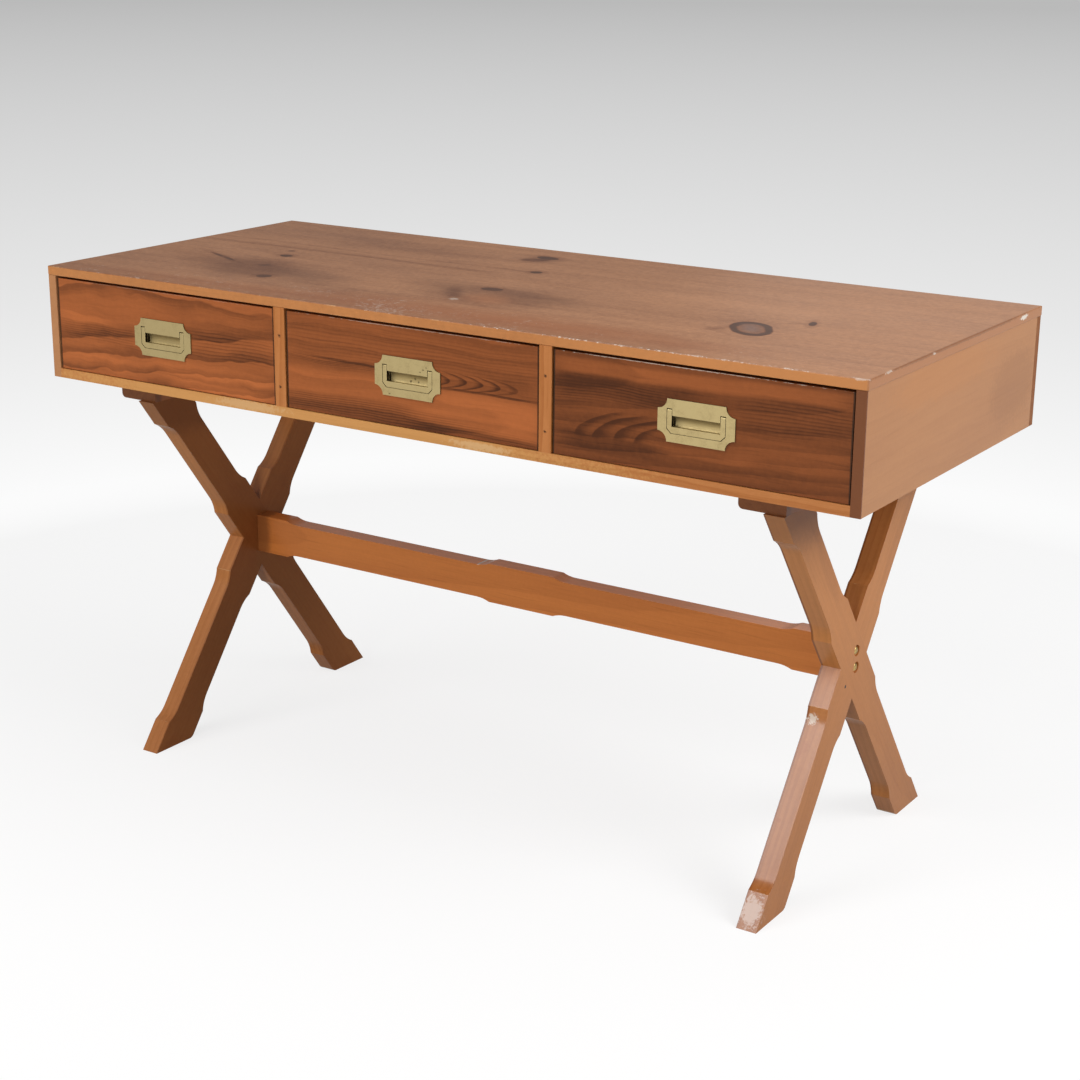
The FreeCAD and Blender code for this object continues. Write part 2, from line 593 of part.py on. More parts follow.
def leg_screw_spots(side):
    """Where the screws of the two legs of a trestle stand."""
    x = f"{leg_low(side)} + leg_thickness / 2"
    reach = f"(({LEG_TOP} - crossing_height) * tan(lean_angle) - leg_screw_shift)"
    return [(x, f"{way} * {reach}") for way in (-1, 1)]


def leg_reliefs(body, lean):
    """The four long reliefs of a leg: inside and outside the X, above and below the crossing."""
    sketch = sketch_in(body, "Reliefs", "YZ_Plane")
    for out, start, end in ((lean, "inner_relief_start", "inner_relief_top"),
                            (-lean, "outer_relief_start", "outer_relief_top"),
                            (-lean, "-inner_relief_foot", "-inner_relief_start"),
                            (lean, "-outer_relief_foot", "-outer_relief_start")):
        trough(sketch, True, f"{out} * (leg_width / 2 - leg_relief)", out, start, end, "leg_relief")
    pocket(body, sketch, None, True)


def leg_lap(body, lean):
    """The half-lap notch: the other leg's band across this one, half the thickness deep."""
    sketch = sketch_in(body, "Lap", "YZ_Plane")
    corners = []
    for across, edges in ((1, (-1, 1)), (-1, (1, -1))):
        v = f"({across} * (leg_width / 2 + cut_overrun))"
        for edge in edges:
            corners.append((v, f"({v} * cos(2 * lean_angle) + {edge} * leg_width / 2)"
                               f" / ({lean} * sin(2 * lean_angle))"))
    outline(sketch, corners)
    if lean < 0:
        bind(sketch, "AttachmentOffset.Base.z", "leg_thickness")
    pocket(body, sketch, "leg_thickness / 2", lean > 0)


def bolt_holes(body, lean, radius, name):
    """A sketch of the two bolt circles in a leg's own leaning frame."""
    sketch = sketch_in(body, name, "YZ_Plane")
    for step in (-1, 1):
        rise = f"({step} * bolt_pitch / 2)"
        circle(sketch, radius,
               f"stretcher_setback * cos(lean_angle) + {lean} * {rise} * sin(lean_angle)",
               f"{-lean} * stretcher_setback * sin(lean_angle) + {rise} * cos(lean_angle)")
    return sketch


def leg(name, side, lean):
    """One leg, drawn upright about the crossing and then leant: lean 1 has its top at the front."""
    body = doc.addObject("PartDesign::Body", f"{name}_board")
    sketch = sketch_in(body, f"{name}_outline", "YZ_Plane")
    half = "leg_width / 2"
    corners = []
    for across, level in ((-1, "0"), (1, "0"), (1, LEG_TOP), (-1, LEG_TOP)):
        v = f"({across} * {half})"
        corners.append((v, f"({level} - crossing_height - {lean} * {v} * sin(lean_angle)) / cos(lean_angle)"))
    outline(sketch, corners)
    blank = pad(body, sketch, "leg_thickness", False)
    inside_across, inside_along = corners[0] if lean > 0 else corners[1]
    inside_foot = FreeCAD.Vector(worth("leg_thickness / 2"), worth(inside_across), worth(inside_along))
    rounded(body, blank, [inside_foot], "foot_round")
    leg_reliefs(body, lean)
    leg_lap(body, lean)
    pocket(body, bolt_holes(body, lean, "bolt_radius + fixing_fit", "Bolt_holes"), None, True)
    if lean == side:
        seats = bolt_holes(body, lean, "bolt_seat_radius", "Bolt_seats")
        if side > 0:
            bind(seats, "AttachmentOffset.Base.z", "leg_thickness")
        pocket(body, seats, "bolt_seat_depth", side < 0)
    body.Placement.Rotation = FreeCAD.Rotation(X_WAY * lean, worth("lean_angle"))
    bind(body, "Placement.Rotation.Angle", "lean_angle")
    place(body, [leg_low(side), "0", "crossing_height"])
    x, y = leg_screw_spots(side)[0 if lean > 0 else 1]
    hole = rod(f"{name}_hole", "wood_screw_radius + fixing_fit", "leg_screw_grip + fixing_fit + cut_overrun",
               [x, y, f"{LEG_TOP} + cut_overrun"], -Z_WAY)
    return cut(f"{name}_drilled", body, [hole])


def batten(name, side):
    """The board that a trestle's legs carry, rounded along its lower free edge and drilled."""
    low = "-batten_height"
    body = prism(f"{name}_batten_blank", [("0", low), ("batten_width", low), ("batten_width", "0"), ("0", "0")],
                 "batten_length", [batten_low(side), "-batten_length / 2", UNDERSIDE])
    edge = FreeCAD.Vector(0, worth("batten_length / 2"), worth(low))
    rounded(body, body.Tip, [edge], "batten_round")
    seat = f"{LEG_TOP} + wood_screw_head_height"
    holes = []
    for x, y in case_screw_spots(side):
        holes.append(rod("case_hole", "wood_screw_radius + fixing_fit", "batten_height",
                         [x, y, seat], Z_WAY))
        holes.append(rod("case_seat", "wood_screw_head + fixing_fit",
                         "wood_screw_head_height + cut_overrun", [x, y, seat], -Z_WAY))
    top_seat = f"{UNDERSIDE} - wood_screw_head_height"
    for x, y in leg_screw_spots(side):
        holes.append(rod("leg_hole", "wood_screw_radius + fixing_fit", "batten_height",
                         [x, y, top_seat], -Z_WAY))
        holes.append(rod("leg_seat", "wood_screw_head + fixing_fit",
                         "wood_screw_head_height + cut_overrun", [x, y, top_seat], Z_WAY))
    return cut(f"{name}_batten_drilled", body, holes)


def trestle_screws(name, side):
    """Screws up into the case and down into the legs."""
    length = "(batten_height - wood_screw_head_height)"
    up = [screw("case_screw", [x, y, f"{LEG_TOP} + wood_screw_head_height"], Z_WAY, "wood_screw_radius",
                f"{length} + case_screw_grip", "wood_screw_head", "wood_screw_head_height")
          for x, y in case_screw_spots(side)]
    down = [screw("leg_screw", [x, y, f"{UNDERSIDE} - wood_screw_head_height"], -Z_WAY, "wood_screw_radius",
                  f"{length} + leg_screw_grip", "wood_screw_head", "wood_screw_head_height")
            for x, y in leg_screw_spots(side)]
    keep(group(f"{name}_case_screw_group", up), f"{name}_batten_screws")
    keep(group(f"{name}_leg_screw_group", down), f"{name}_leg_screws")


def trestles():
    """The two trestles, alike and facing the same way."""
    for name, side in (("left", -1), ("right", 1)):
        keep(leg(f"{name}_front", side, 1), f"{name}_front_top_leg")
        keep(leg(f"{name}_rear", side, -1), f"{name}_back_top_leg")
        keep(batten(name, side), f"{name}_batten")
        trestle_screws(name, side)


def bolt_levels():
    """The heights of the two bolts of a crossing."""
    return [f"crossing_height + {step} * bolt_pitch / 2" for step in (-1, 1)]


def bolts(name, side):
    """Domed bolts from outside a trestle into the stretcher, and the barrel nuts that they draw on."""
    seat = f"{side} * ({FRAME_HALF} - bolt_seat_depth)"
    nut_place = f"{side} * ({STRETCHER_HALF} - nut_distance)"
    shafts = []
    nuts = []
    for level in bolt_levels():
        spot = [seat, "stretcher_setback", level]
        shank = rod("bolt_shank", "bolt_radius", "leg_thickness - bolt_seat_depth + bolt_reach",
                    spot, X_WAY * -side)
        head = dome("bolt_head", "bolt_head_radius", "bolt_head_height", spot, X_WAY * side)
        shafts.append(joined("bolt", [shank, head]))
        barrel = rod("barrel", "nut_radius", "nut_length",
                     [nut_place, "stretcher_setback - nut_length / 2", level], Y_WAY)
        thread = rod("thread", "bolt_radius + fixing_fit", "2 * (nut_radius + cut_overrun)",
                     [f"{nut_place} - nut_radius - cut_overrun", "stretcher_setback", level], X_WAY)
        nuts.append(cut("nut", barrel, [thread]))
    keep(group(f"{name}_bolt_pair", shafts), f"{name}_stretcher_bolts")
    keep(group(f"{name}_nut_pair", nuts), f"{name}_barrel_nuts")


def stretcher():
    """The rail between the trestles, relieved along both edges and bored for bolts and nuts."""
    half_height = "stretcher_height / 2"
    body = prism("rail", [(f"-{STRETCHER_HALF}", f"-{half_height}"), (STRETCHER_HALF, f"-{half_height}"),
                          (STRETCHER_HALF, half_height), (f"-{STRETCHER_HALF}", half_height)],
                 "leg_thickness", ["0", "stretcher_setback - leg_thickness / 2", "crossing_height"])
    sketch = sketch_in(body, "Rail_reliefs", "XZ_Plane")
    near = "(stretcher_middle_pad / 2)"
    far = f"({STRETCHER_HALF} - stretcher_end_pad)"
    for out in (-1, 1):
        floor = f"{out} * ({half_height} - stretcher_relief)"
        trough(sketch, False, floor, out, near, far, "stretcher_relief")
        trough(sketch, False, floor, out, f"-{far}", f"-{near}", "stretcher_relief")
    pocket(body, sketch, None, False)
    holes = []
    for side in (-1, 1):
        for level in bolt_levels():
            holes.append(rod("bolt_bore", "bolt_radius + fixing_fit", "bolt_reach + fixing_fit + cut_overrun",
                             [f"{side} * ({STRETCHER_HALF} + cut_overrun)", "stretcher_setback", level],
                             X_WAY * -side))
            holes.append(rod("nut_bore", "nut_radius + fixing_fit",
                             "leg_thickness / 2 + nut_length / 2 + fixing_fit",
                             [f"{side} * ({STRETCHER_HALF} - nut_distance)",
                              "stretcher_setback + leg_thickness / 2", level], -Y_WAY))
    keep(cut("rail_bored", body, holes), "stretcher")


def check_all():
    """Stop with a message if any object failed or any sub-part is not a sound solid."""
    for item in doc.Objects:
        if "Invalid" in item.State or "Error" in item.State:
            raise RuntimeError(f"{item.Label} failed: {item.State}")
    for item in doc.Objects:
        if item.TypeId == "PartDesign::Pocket" and item.Shape.Volume >= item.BaseFeature.Shape.Volume:
            raise RuntimeError(f"{item.Label} cuts nothing")
    for item in pieces:
        if item.Shape.isNull() or not item.Shape.isValid() or not item.Shape.Solids:
            raise RuntimeError(f"{item.Label} is not a sound solid")


def write_all():
    """Write each sub-part to its own file."""
    os.makedirs("parts", exist_ok=True)
    for item in pieces:
        item.Shape.exportStep(f"parts/{item.Label}.step")


case_boards()
dividers()
drawer_stops()
drawers()
trestles()
stretcher()
for trestle_name, trestle_side in (("left", -1), ("right", 1)):
    bolts(trestle_name, trestle_side)
doc.recompute()
check_all()
write_all()
print(len(pieces), "sub-parts written")
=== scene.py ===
import itertools
import json
import math
from dataclasses import dataclass, field, replace

import bmesh
import bpy
from mathutils import Matrix, Vector


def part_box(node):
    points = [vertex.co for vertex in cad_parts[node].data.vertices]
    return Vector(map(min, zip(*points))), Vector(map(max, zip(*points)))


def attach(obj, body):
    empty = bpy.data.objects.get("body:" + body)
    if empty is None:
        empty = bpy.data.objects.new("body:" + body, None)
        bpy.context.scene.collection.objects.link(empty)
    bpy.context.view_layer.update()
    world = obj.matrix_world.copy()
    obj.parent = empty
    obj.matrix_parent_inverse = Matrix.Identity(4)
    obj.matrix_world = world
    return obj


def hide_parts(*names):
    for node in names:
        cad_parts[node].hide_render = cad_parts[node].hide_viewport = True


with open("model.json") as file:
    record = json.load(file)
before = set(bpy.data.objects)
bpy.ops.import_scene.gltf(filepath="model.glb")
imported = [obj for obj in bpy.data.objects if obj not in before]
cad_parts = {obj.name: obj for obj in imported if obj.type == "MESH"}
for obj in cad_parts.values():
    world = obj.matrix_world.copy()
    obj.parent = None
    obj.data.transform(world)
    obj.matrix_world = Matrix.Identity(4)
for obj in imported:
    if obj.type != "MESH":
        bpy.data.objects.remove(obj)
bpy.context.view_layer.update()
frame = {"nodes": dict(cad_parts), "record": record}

bl_info = {
    "name": "Campaign desk looks",
    "version": (1, 0, 0),
    "blender": (4, 5, 0),
    "location": "View3D > Sidebar > Desk",
    "description": "Dresses a pine campaign desk in worn wax, aged brass and steel",
    "category": "Object",
}

# Each side of the desk, with its sign along x
SIDES = {"left": -1, "right": 1}
BAYS = ("left", "middle", "right")
X_WAY = Vector((1, 0, 0))
Y_WAY = Vector((0, 1, 0))
Z_WAY = Vector((0, 0, 1))

# The ways along, across and through each kind of board
LENGTHWAYS = (X_WAY, Y_WAY, Z_WAY)
CROSSWAYS = (Y_WAY, X_WAY, Z_WAY)
FACING = (X_WAY, Z_WAY, Y_WAY)
SIDEWAYS = (Y_WAY, Z_WAY, X_WAY)
UPRIGHT = (Z_WAY, X_WAY, Y_WAY)

# The standard curve between a screen's values and light
SCREEN_WHITE = 255
SCREEN_TOE = (0.04045, 12.92)
SCREEN_CURVE = (0.055, 2.4)


def srgb(screen):
    """Linear colour from the 0 to 255 values that a screen shows."""
    toe, slope = SCREEN_TOE
    lift, power = SCREEN_CURVE
    shares = [part / SCREEN_WHITE for part in screen]
    return tuple(s / slope if s <= toe else ((s + lift) / (1 + lift)) ** power for s in shares)


def colour(name, description, screen):
    """A colour property, given as it looks on a screen."""
    return bpy.props.FloatVectorProperty(name=name, description=description, default=srgb(screen),
                                         size=3, min=0, max=1, subtype="COLOR")


def length(name, description, metres):
    """A length property in metres."""
    return bpy.props.FloatProperty(name=name, description=description, default=metres, min=0,
                                   precision=5, subtype="DISTANCE", unit="LENGTH")


def strength(name, description, value):
    """A plain number property."""
    return bpy.props.FloatProperty(name=name, description=description, default=value, min=0)


# The boards of each stain, with their darkest and palest grain
GRAINS = {
    "top": ("Top board", (124, 75, 44), (184, 130, 92)),
    "case": ("Case boards", (168, 98, 44), (212, 142, 84)),
    "side": ("Side panels", (162, 104, 62), (200, 144, 98)),
    "front": ("Drawer fronts", (84, 44, 20), (190, 108, 58)),
    "frame": ("Legs and battens", (150, 88, 42), (216, 146, 86)),
    "rail": ("Stretcher", (166, 92, 40), (224, 138, 68)),
    "box": ("Drawer boxes", (168, 122, 76), (214, 172, 122)),
}


class DeskColours(bpy.types.PropertyGroup):
    """Stains of the pine and colours of the metal. GRAINS adds two colours for each stain."""
    side_mean: colour("Ends of the top", "End grain of the top board", (176, 118, 76))
    bare: colour("Bare pine", "Where the wax and stain are rubbed away", (222, 182, 132))
    gold: colour("Gold", "Front edge of the bottom board, rubbed to pale gold", (224, 172, 102))
    honey: colour("Honey", "Edges of the top board, where the pine is only varnished", (204, 134, 74))
    warm: colour("Warm stain", "Where the varnish is worn and the wood looks orange", (158, 90, 44))
    # Painted shade: a dark red laid over the legs' inner faces and the side panels' front edges
    mahogany: colour("Red painted shade", "Painted shade on the inner faces of the legs and the front edges of the side panels", (108, 56, 26))
    # A real dark stain in most places; also painted shade under the case, at the battens' front ends and at
    # the stretcher's left end
    umber: colour("Dark stain and shade", "Where the stain has gathered, and painted shade under the case and beside the legs", (98, 58, 34))
    # Real soiling on nails, scratches and a nail hole; also painted shade beside the drawer fronts and in the
    # pulls' recesses
    grime: colour("Grime", "Dirt in corners and gaps, and painted shade in gaps and recesses", (38, 30, 20))
    # Real scuffs and chips, and also a painted highlight on a knee of the right trestle
    chalk: colour("Scuff", "White scuffs and chips, and a painted highlight on a knee", (232, 222, 208))
    # Rubbed pine on the foot, with a painted sheen over it
    pale: colour("Bleached pine and painted sheen", "Feet where shoes have rubbed the stain away, under a painted sheen", (214, 194, 182))
    slate: colour("Knot heart", "Grey heart of the dead knot", (122, 106, 102))
    brass: colour("Brass", "Aged brass of the pulls", (187, 168, 121))
    brass_dark: colour("Brass, dark", "Patina of the brass", (120, 100, 66))
    bolt: colour("Bolt brass", "Dull brass of the bolt heads", (196, 168, 108))
    steel: colour("Steel", "Dull steel of the screws and nuts", (92, 86, 80))
    nail: colour("Nail", "Dark iron of the nails", (72, 50, 36))
    floor: colour("Floor", "Studio floor", (250, 250, 250))
    fade_near: colour("Fade, near", "Floor just outside the desk's shadow", (255, 255, 255))
    fade_middle: colour("Fade, middle", "Floor a few metres off", (232, 232, 232))
    fade_far: colour("Fade, far", "Floor and air far away", (186, 186, 186))


for kind, (boards, dark, light) in GRAINS.items():
    DeskColours.__annotations__[f"{kind}_dark"] = colour(f"{boards}, dark", "Darkest grain", dark)
    DeskColours.__annotations__[f"{kind}_light"] = colour(f"{boards}, light", "Palest grain", light)


class DeskSizes(bpy.types.PropertyGroup):
    """Small sizes that only the looks need."""
    top_arris: length("Top arris", "Softened edge of the top board", 0.0013)
    case_arris: length("Case arris", "Softened edges of the case boards", 0.001)
    front_arris: length("Front arris", "Softened edges of the drawer fronts", 0.0009)
    leg_arris: length("Leg arris", "Softened edges of legs, battens and stretcher", 0.0018)
    leg_knee: length("Leg knee", "Rounding where legs and stretcher step in and out", 0.007)
    box_arris: length("Box arris", "Softened edges of the drawer boxes", 0.0006)
    brass_arris: length("Brass arris", "Softened edges of plates and bails", 0.00035)
    bolt_head: length("Bolt head", "Height of the domed bolt heads", 0.0034)
    bolt_shank: length("Bolt shank", "Radius of the bolts", 0.003)
    screw_head: length("Screw head", "Height of the wood screws' heads", 0.0028)
    screw_shank: length("Screw shank", "Radius of the wood screws", 0.0022)
    pull_head: length("Pull screw head", "Height of the pull screws' heads", 0.0026)
    pull_shank: length("Pull screw shank", "Radius of the pull screws", 0.002)
    slot_width: length("Slot width", "Driver slot of bolts and screws", 0.0012)
    slot_depth: length("Slot depth", "Driver slot of bolts and screws", 0.0011)


class DeskStudio(bpy.types.PropertyGroup):
    """Camera, lamps and air."""
    lens: bpy.props.FloatProperty(name="Lens", description="Focal length", default=69.06, unit="CAMERA")
    sensor: bpy.props.FloatProperty(name="Sensor", description="Sensor width", default=36.0, unit="CAMERA")
    world: strength("World", "Strength of the even light all round", 0.24)
    over: strength("Overhead lamp", "Power of the large lamp above", 14.0)
    beside: strength("Side lamp", "Power of the large lamp to the right", 82.0)
    fore: strength("Front lamp", "Power of the large lamp in front, high up", 54.0)
    low: strength("Low lamp", "Power of the lamp in front, low down", 62.0)
    sheen: strength("Sheen lamp", "Power of the faint lamp behind that the top mirrors", 2.0)


def opaque(tint):
    return (*tint, 1.0)


def dimmed(tint, factor):
    return opaque([min(1.0, part * factor) for part in tint])


def tint_of(name):
    """A colour of the desk's settings, as plain numbers."""
    return tuple(getattr(bpy.context.scene.desk_colours, name))


def stain_of(kind):
    """The dark and light grain of a kind of board."""
    return tint_of(f"{kind}_dark"), tint_of(f"{kind}_light")


# Node trees

def fill_ramp(ramp, stops):
    """Give a colour ramp its stops."""
    while len(ramp.elements) < len(stops):
        ramp.elements.new(1.0)
    for element, (place, tint) in zip(ramp.elements, stops):
        element.position = place
        element.color = tint


def new_node(tree, kind, settings, sockets):
    """Add a node to a tree, set it up, then fill its sockets with values or links."""
    made = tree.nodes.new(kind)
    for key, value in dict(settings).items():
        if key == "stops":
            fill_ramp(made.color_ramp, value)
        else:
            setattr(made, key, value)
    for key, value in dict(sockets).items():
        source = getattr(value, "socket", value)
        if isinstance(source, bpy.types.NodeSocket):
            tree.links.new(source, made.inputs[key])
        else:
            made.inputs[key].default_value = value
    return made


def sum_method(operation):
    """A method that puts a value and another one through a Math node."""
    def method(self, other):
        return self.graph.maths(operation, self, other)
    return method


class Value:
    """One output of a shader node, for use in Python sums."""
    __add__ = __radd__ = sum_method("ADD")
    __mul__ = __rmul__ = sum_method("MULTIPLY")
    __sub__ = sum_method("SUBTRACT")
    __truediv__ = sum_method("DIVIDE")
    __pow__ = sum_method("POWER")

    def __init__(self, graph, socket):
        self.graph = graph
        self.socket = socket

    def __rsub__(self, other):
        return self.graph.maths("SUBTRACT", other, self)

    def __abs__(self):
        return self.graph.maths("ABSOLUTE", self)

    def rise(self, low, high):
        """Smooth step from 0 at low to 1 at high."""
        return self.graph.node("ShaderNodeMapRange", {"interpolation_type": "SMOOTHSTEP"},
                               {"Value": self, "From Min": low, "From Max": high})

    def fall(self, low, high):
        """Smooth step from 1 at low to 0 at high."""
        return 1 - self.rise(low, high)


NOISE_MIDDLE = 0.5


class Graph:
    """The node tree of one material."""

    def __init__(self, name):
        self.material = bpy.data.materials.new(name)
        self.material.use_nodes = True
        self.tree = self.material.node_tree
        self.shader = self.tree.nodes["Principled BSDF"]

    def node(self, kind, settings=(), sockets=(), output=0):
        """An output of a new node."""
        return Value(self, new_node(self.tree, kind, settings, sockets).outputs[output])

    def maths(self, operation, *terms):
        return self.node("ShaderNodeMath", {"operation": operation}, dict(enumerate(terms)))

    def vector_maths(self, operation, *terms, output=0):
        return self.node("ShaderNodeVectorMath", {"operation": operation}, dict(enumerate(terms)), output)

    def mix(self, factor, first, second):
        """A colour between two colours."""
        return self.node("ShaderNodeMix", {"data_type": "RGBA"}, {0: factor, 6: first, 7: second}, output=2)

    def vector(self, x, y, z):
        return self.node("ShaderNodeCombineXYZ", (), {0: x, 1: y, 2: z})

    def along(self, point, way):
        """How far a point lies along a direction."""
        return self.vector_maths("DOT_PRODUCT", point, way, output=1)

    def noise(self, point, scale=1.0, detail=2.0, rough=0.5):
        """Soft noise about zero, from -0.5 to 0.5."""
        sockets = {"Vector": point, "Scale": scale, "Detail": detail, "Roughness": rough}
        return self.node("ShaderNodeTexNoise", (), sockets) - NOISE_MIDDLE

    def place(self):
        """The point on the piece, in the desk's own frame."""
        return self.node("ShaderNodeTexCoord", output=3)

    def from_point(self, origin):
        return self.vector_maths("SUBTRACT", self.place(), origin)

    def attribute(self, name):
        return self.node("ShaderNodeAttribute", {"attribute_name": name}, output=2)

    def finish(self, links, constants):
        """Link what varies to the shader and set what is even on its own sockets."""
        for key, value in links.items():
            self.tree.links.new(value.socket, self.shader.inputs[key])
        for key, value in constants.items():
            self.shader.inputs[key].default_value = value
        return self.material


# What a board can show

@dataclass
class Band:
    """A paler or darker streak along the grain, from one point to another, or with a pitch, fine lines."""
    start: tuple
    end: tuple
    half: float
    tone: float
    pitch: float = 0.0


@dataclass
class Arcs:
    """Nested arches of a board cut across the heart of the tree."""
    tip: tuple
    way: int
    reach: float
    pitch: float
    bend: float
    height: float
    slant: float
    tone: float
    thin: float


@dataclass
class Knot:
    """A knot or smoky patch: its place, half sizes, turn in degrees, tone at heart and rim, and softness."""
    place: tuple
    half: tuple
    turn: float
    heart: float
    rim: float = 0.0
    soft: bool = False


@dataclass
class Stain:
    """A soft patch of another colour: its place and half sizes on the board, turn, strength and tint."""
    place: tuple
    half: tuple
    turn: float
    strength: float
    tint: str


@dataclass
class Scuff:
    """A spot in the desk's frame, worn, stained, or painted with light and shade: its place, half sizes,
    strength, tint and raggedness.
    """
    place: tuple
    half: tuple
    strength: float = 1.0
    tint: str = "chalk"
    ragged: float = 1.0


@dataclass
class Board:
    """How one kind of board is cut from the tree, stained and worn."""
    ways: tuple
    stain: tuple
    origin: tuple = (0, 0, 0)
    tone: float = 0.55
    ring: float = 0.014
    contrast: float = 0.2
    heart: tuple = (0.02, 0.06)
    tilt: float = 0.02
    wander: float = 0.012
    ripple: float = 0.003
    fade: float = 0.0
    dashes: float = 0.1
    specks: float = 0.0
    mottle: float = 0.08
    streak: float = 0.18
    blotch: float = 0.22
    wear: float = 0.5
    rough: float = 0.4
    coat: float = 0.03
    coat_rough: float = 0.22
    gloss: float = 0.22
    polish: float = 0.0
    # Painted shade on upward faces; a negative value paints them lighter
    shade: float = 0.0
    seed: float = 0.0
    edge: str = ""
    edge_level: float = 0.0
    bands: list = field(default_factory=list)
    arcs: list = field(default_factory=list)
    knots: list = field(default_factory=list)
    stains: list = field(default_factory=list)
    scuffs: list = field(default_factory=list)


# Noise drawn out along the grain: waves in a metre along it and across it, detail and roughness
WANDER_NOISE = (3.2, 11.0, 3.0, 0.5)
RIPPLE_NOISE = (14.0, 26.0, 2.0, 0.5)
BLOTCH_NOISE = (3.4, 9.0, 4.0, 0.6)
STREAK_NOISE = (7.0, 260.0, 3.0, 0.5)
FIBRE_NOISE = (34.0, 1100.0, 1.0, 0.5)
DASH_NOISE = (11.0, 330.0, 1.0, 0.5)

# Even noise: waves in a metre, detail and roughness
MOTTLE_NOISE = (170.0, 2.0, 0.5)
SPECK_NOISE = (190.0, 3.0, 0.5)
CHIP_NOISE = (210.0, 5.0, 0.7)
PATCH_NOISE = (14.0, 3.0, 0.5)
PAPER_NOISE = (40.0, 2.0, 0.5)

# Rings, fibres and streaks
LATE_WOOD_SHARES = (0.2, 0.92, 0.985)
RING_DRIFT_SHARE = 1.6
FIBRE_SHARE = 0.7
DASH_SHARES = (0.06, 0.3)
LINE_SHARES = (0.3, 0.8, 1.0)
LINE_RIPPLE = 0.005
BAND_END_SOFT = 0.03
BAND_SIDE_SHARES = (0.5, 1.15)
ARC_LINE_SHARES = (0.88, 0.9, 1.0)
ARC_HEIGHT_SHARE = 0.6
ARC_REACH_SHARE = 0.7
ARC_RIPPLE = 0.016
SPECK_SHARES = (0.15, 0.25)
SPECK_ZONE = (-0.22, 0.12)

# Knots and stains
KNOT_SHARES = (0.75, 1.1, 2.4)
KNOT_RIM_SHARES = (0.56, 0.84, 0.96, 1.1)
KNOT_PUSH_SHARE = 0.7
KNOT_DRIFT_SHARE = 0.4
KNOT_RIPPLE_SHARE = 0.35
KNOT_HALO_SHARE = 0.18
STAIN_SHARES = (0.1, 1.15)
STAIN_RAGGED_SHARE = 1.3
RAMP_SHARES = (0.0, 0.25, 0.8, 1.0)
DEEP_SHARE = 0.45
BRIGHT_SHARE = 1.18
EDGE_SOFT = 0.0006
EDGE_TONE_SHARES = (0.05, 0.75)
EDGE_DARK_SHARE = 0.72

# Wear, wax and relief
SCUFF_SHARES = (0.5, 0.95)
CHIP_SHARE = 2.4
PATCH_SHARE = 1.2
WEAR_SHARES = (0.22, 0.42)
WEAR_GROWTH_SHARE = 0.3
BLOTCH_ROUGH_SHARE = 0.12
FIBRE_ROUGH_SHARE = 0.08
RUBBED_ROUGH_SHARE = 0.15
POLISH_SHARE = 0.9
LATE_RELIEF_SHARE = 0.5
FIBRE_RELIEF = {"Strength": 0.35, "Distance": 0.00012}


def spot_distance(spot, along, across):
    """Distance from the middle of a knot or stain, 1 at its rim, and the offset across the grain."""
    turn = math.radians(spot.turn)
    u = along - spot.place[0]
    v = across - spot.place[1]
    major = (u * math.cos(turn) + v * math.sin(turn)) / spot.half[0]
    minor = (v * math.cos(turn) - u * math.sin(turn)) / spot.half[1]
    return (major * major + minor * minor) ** 0.5, v


def spotted(graph, tint, scuffs, torn):
    """Lay worn or stained spots, and spots of painted light and shade, over a colour, with their rims torn by
    noise.
    """
    for scuff in scuffs:
        apart = graph.vector_maths("DIVIDE", graph.from_point(scuff.place), scuff.half)
        reach = graph.vector_maths("LENGTH", apart, output=1)
        mark = (reach + torn * scuff.ragged).fall(*SCUFF_SHARES) * scuff.strength
        tint = graph.mix(mark, tint, opaque(tint_of(scuff.tint)))
    return tint


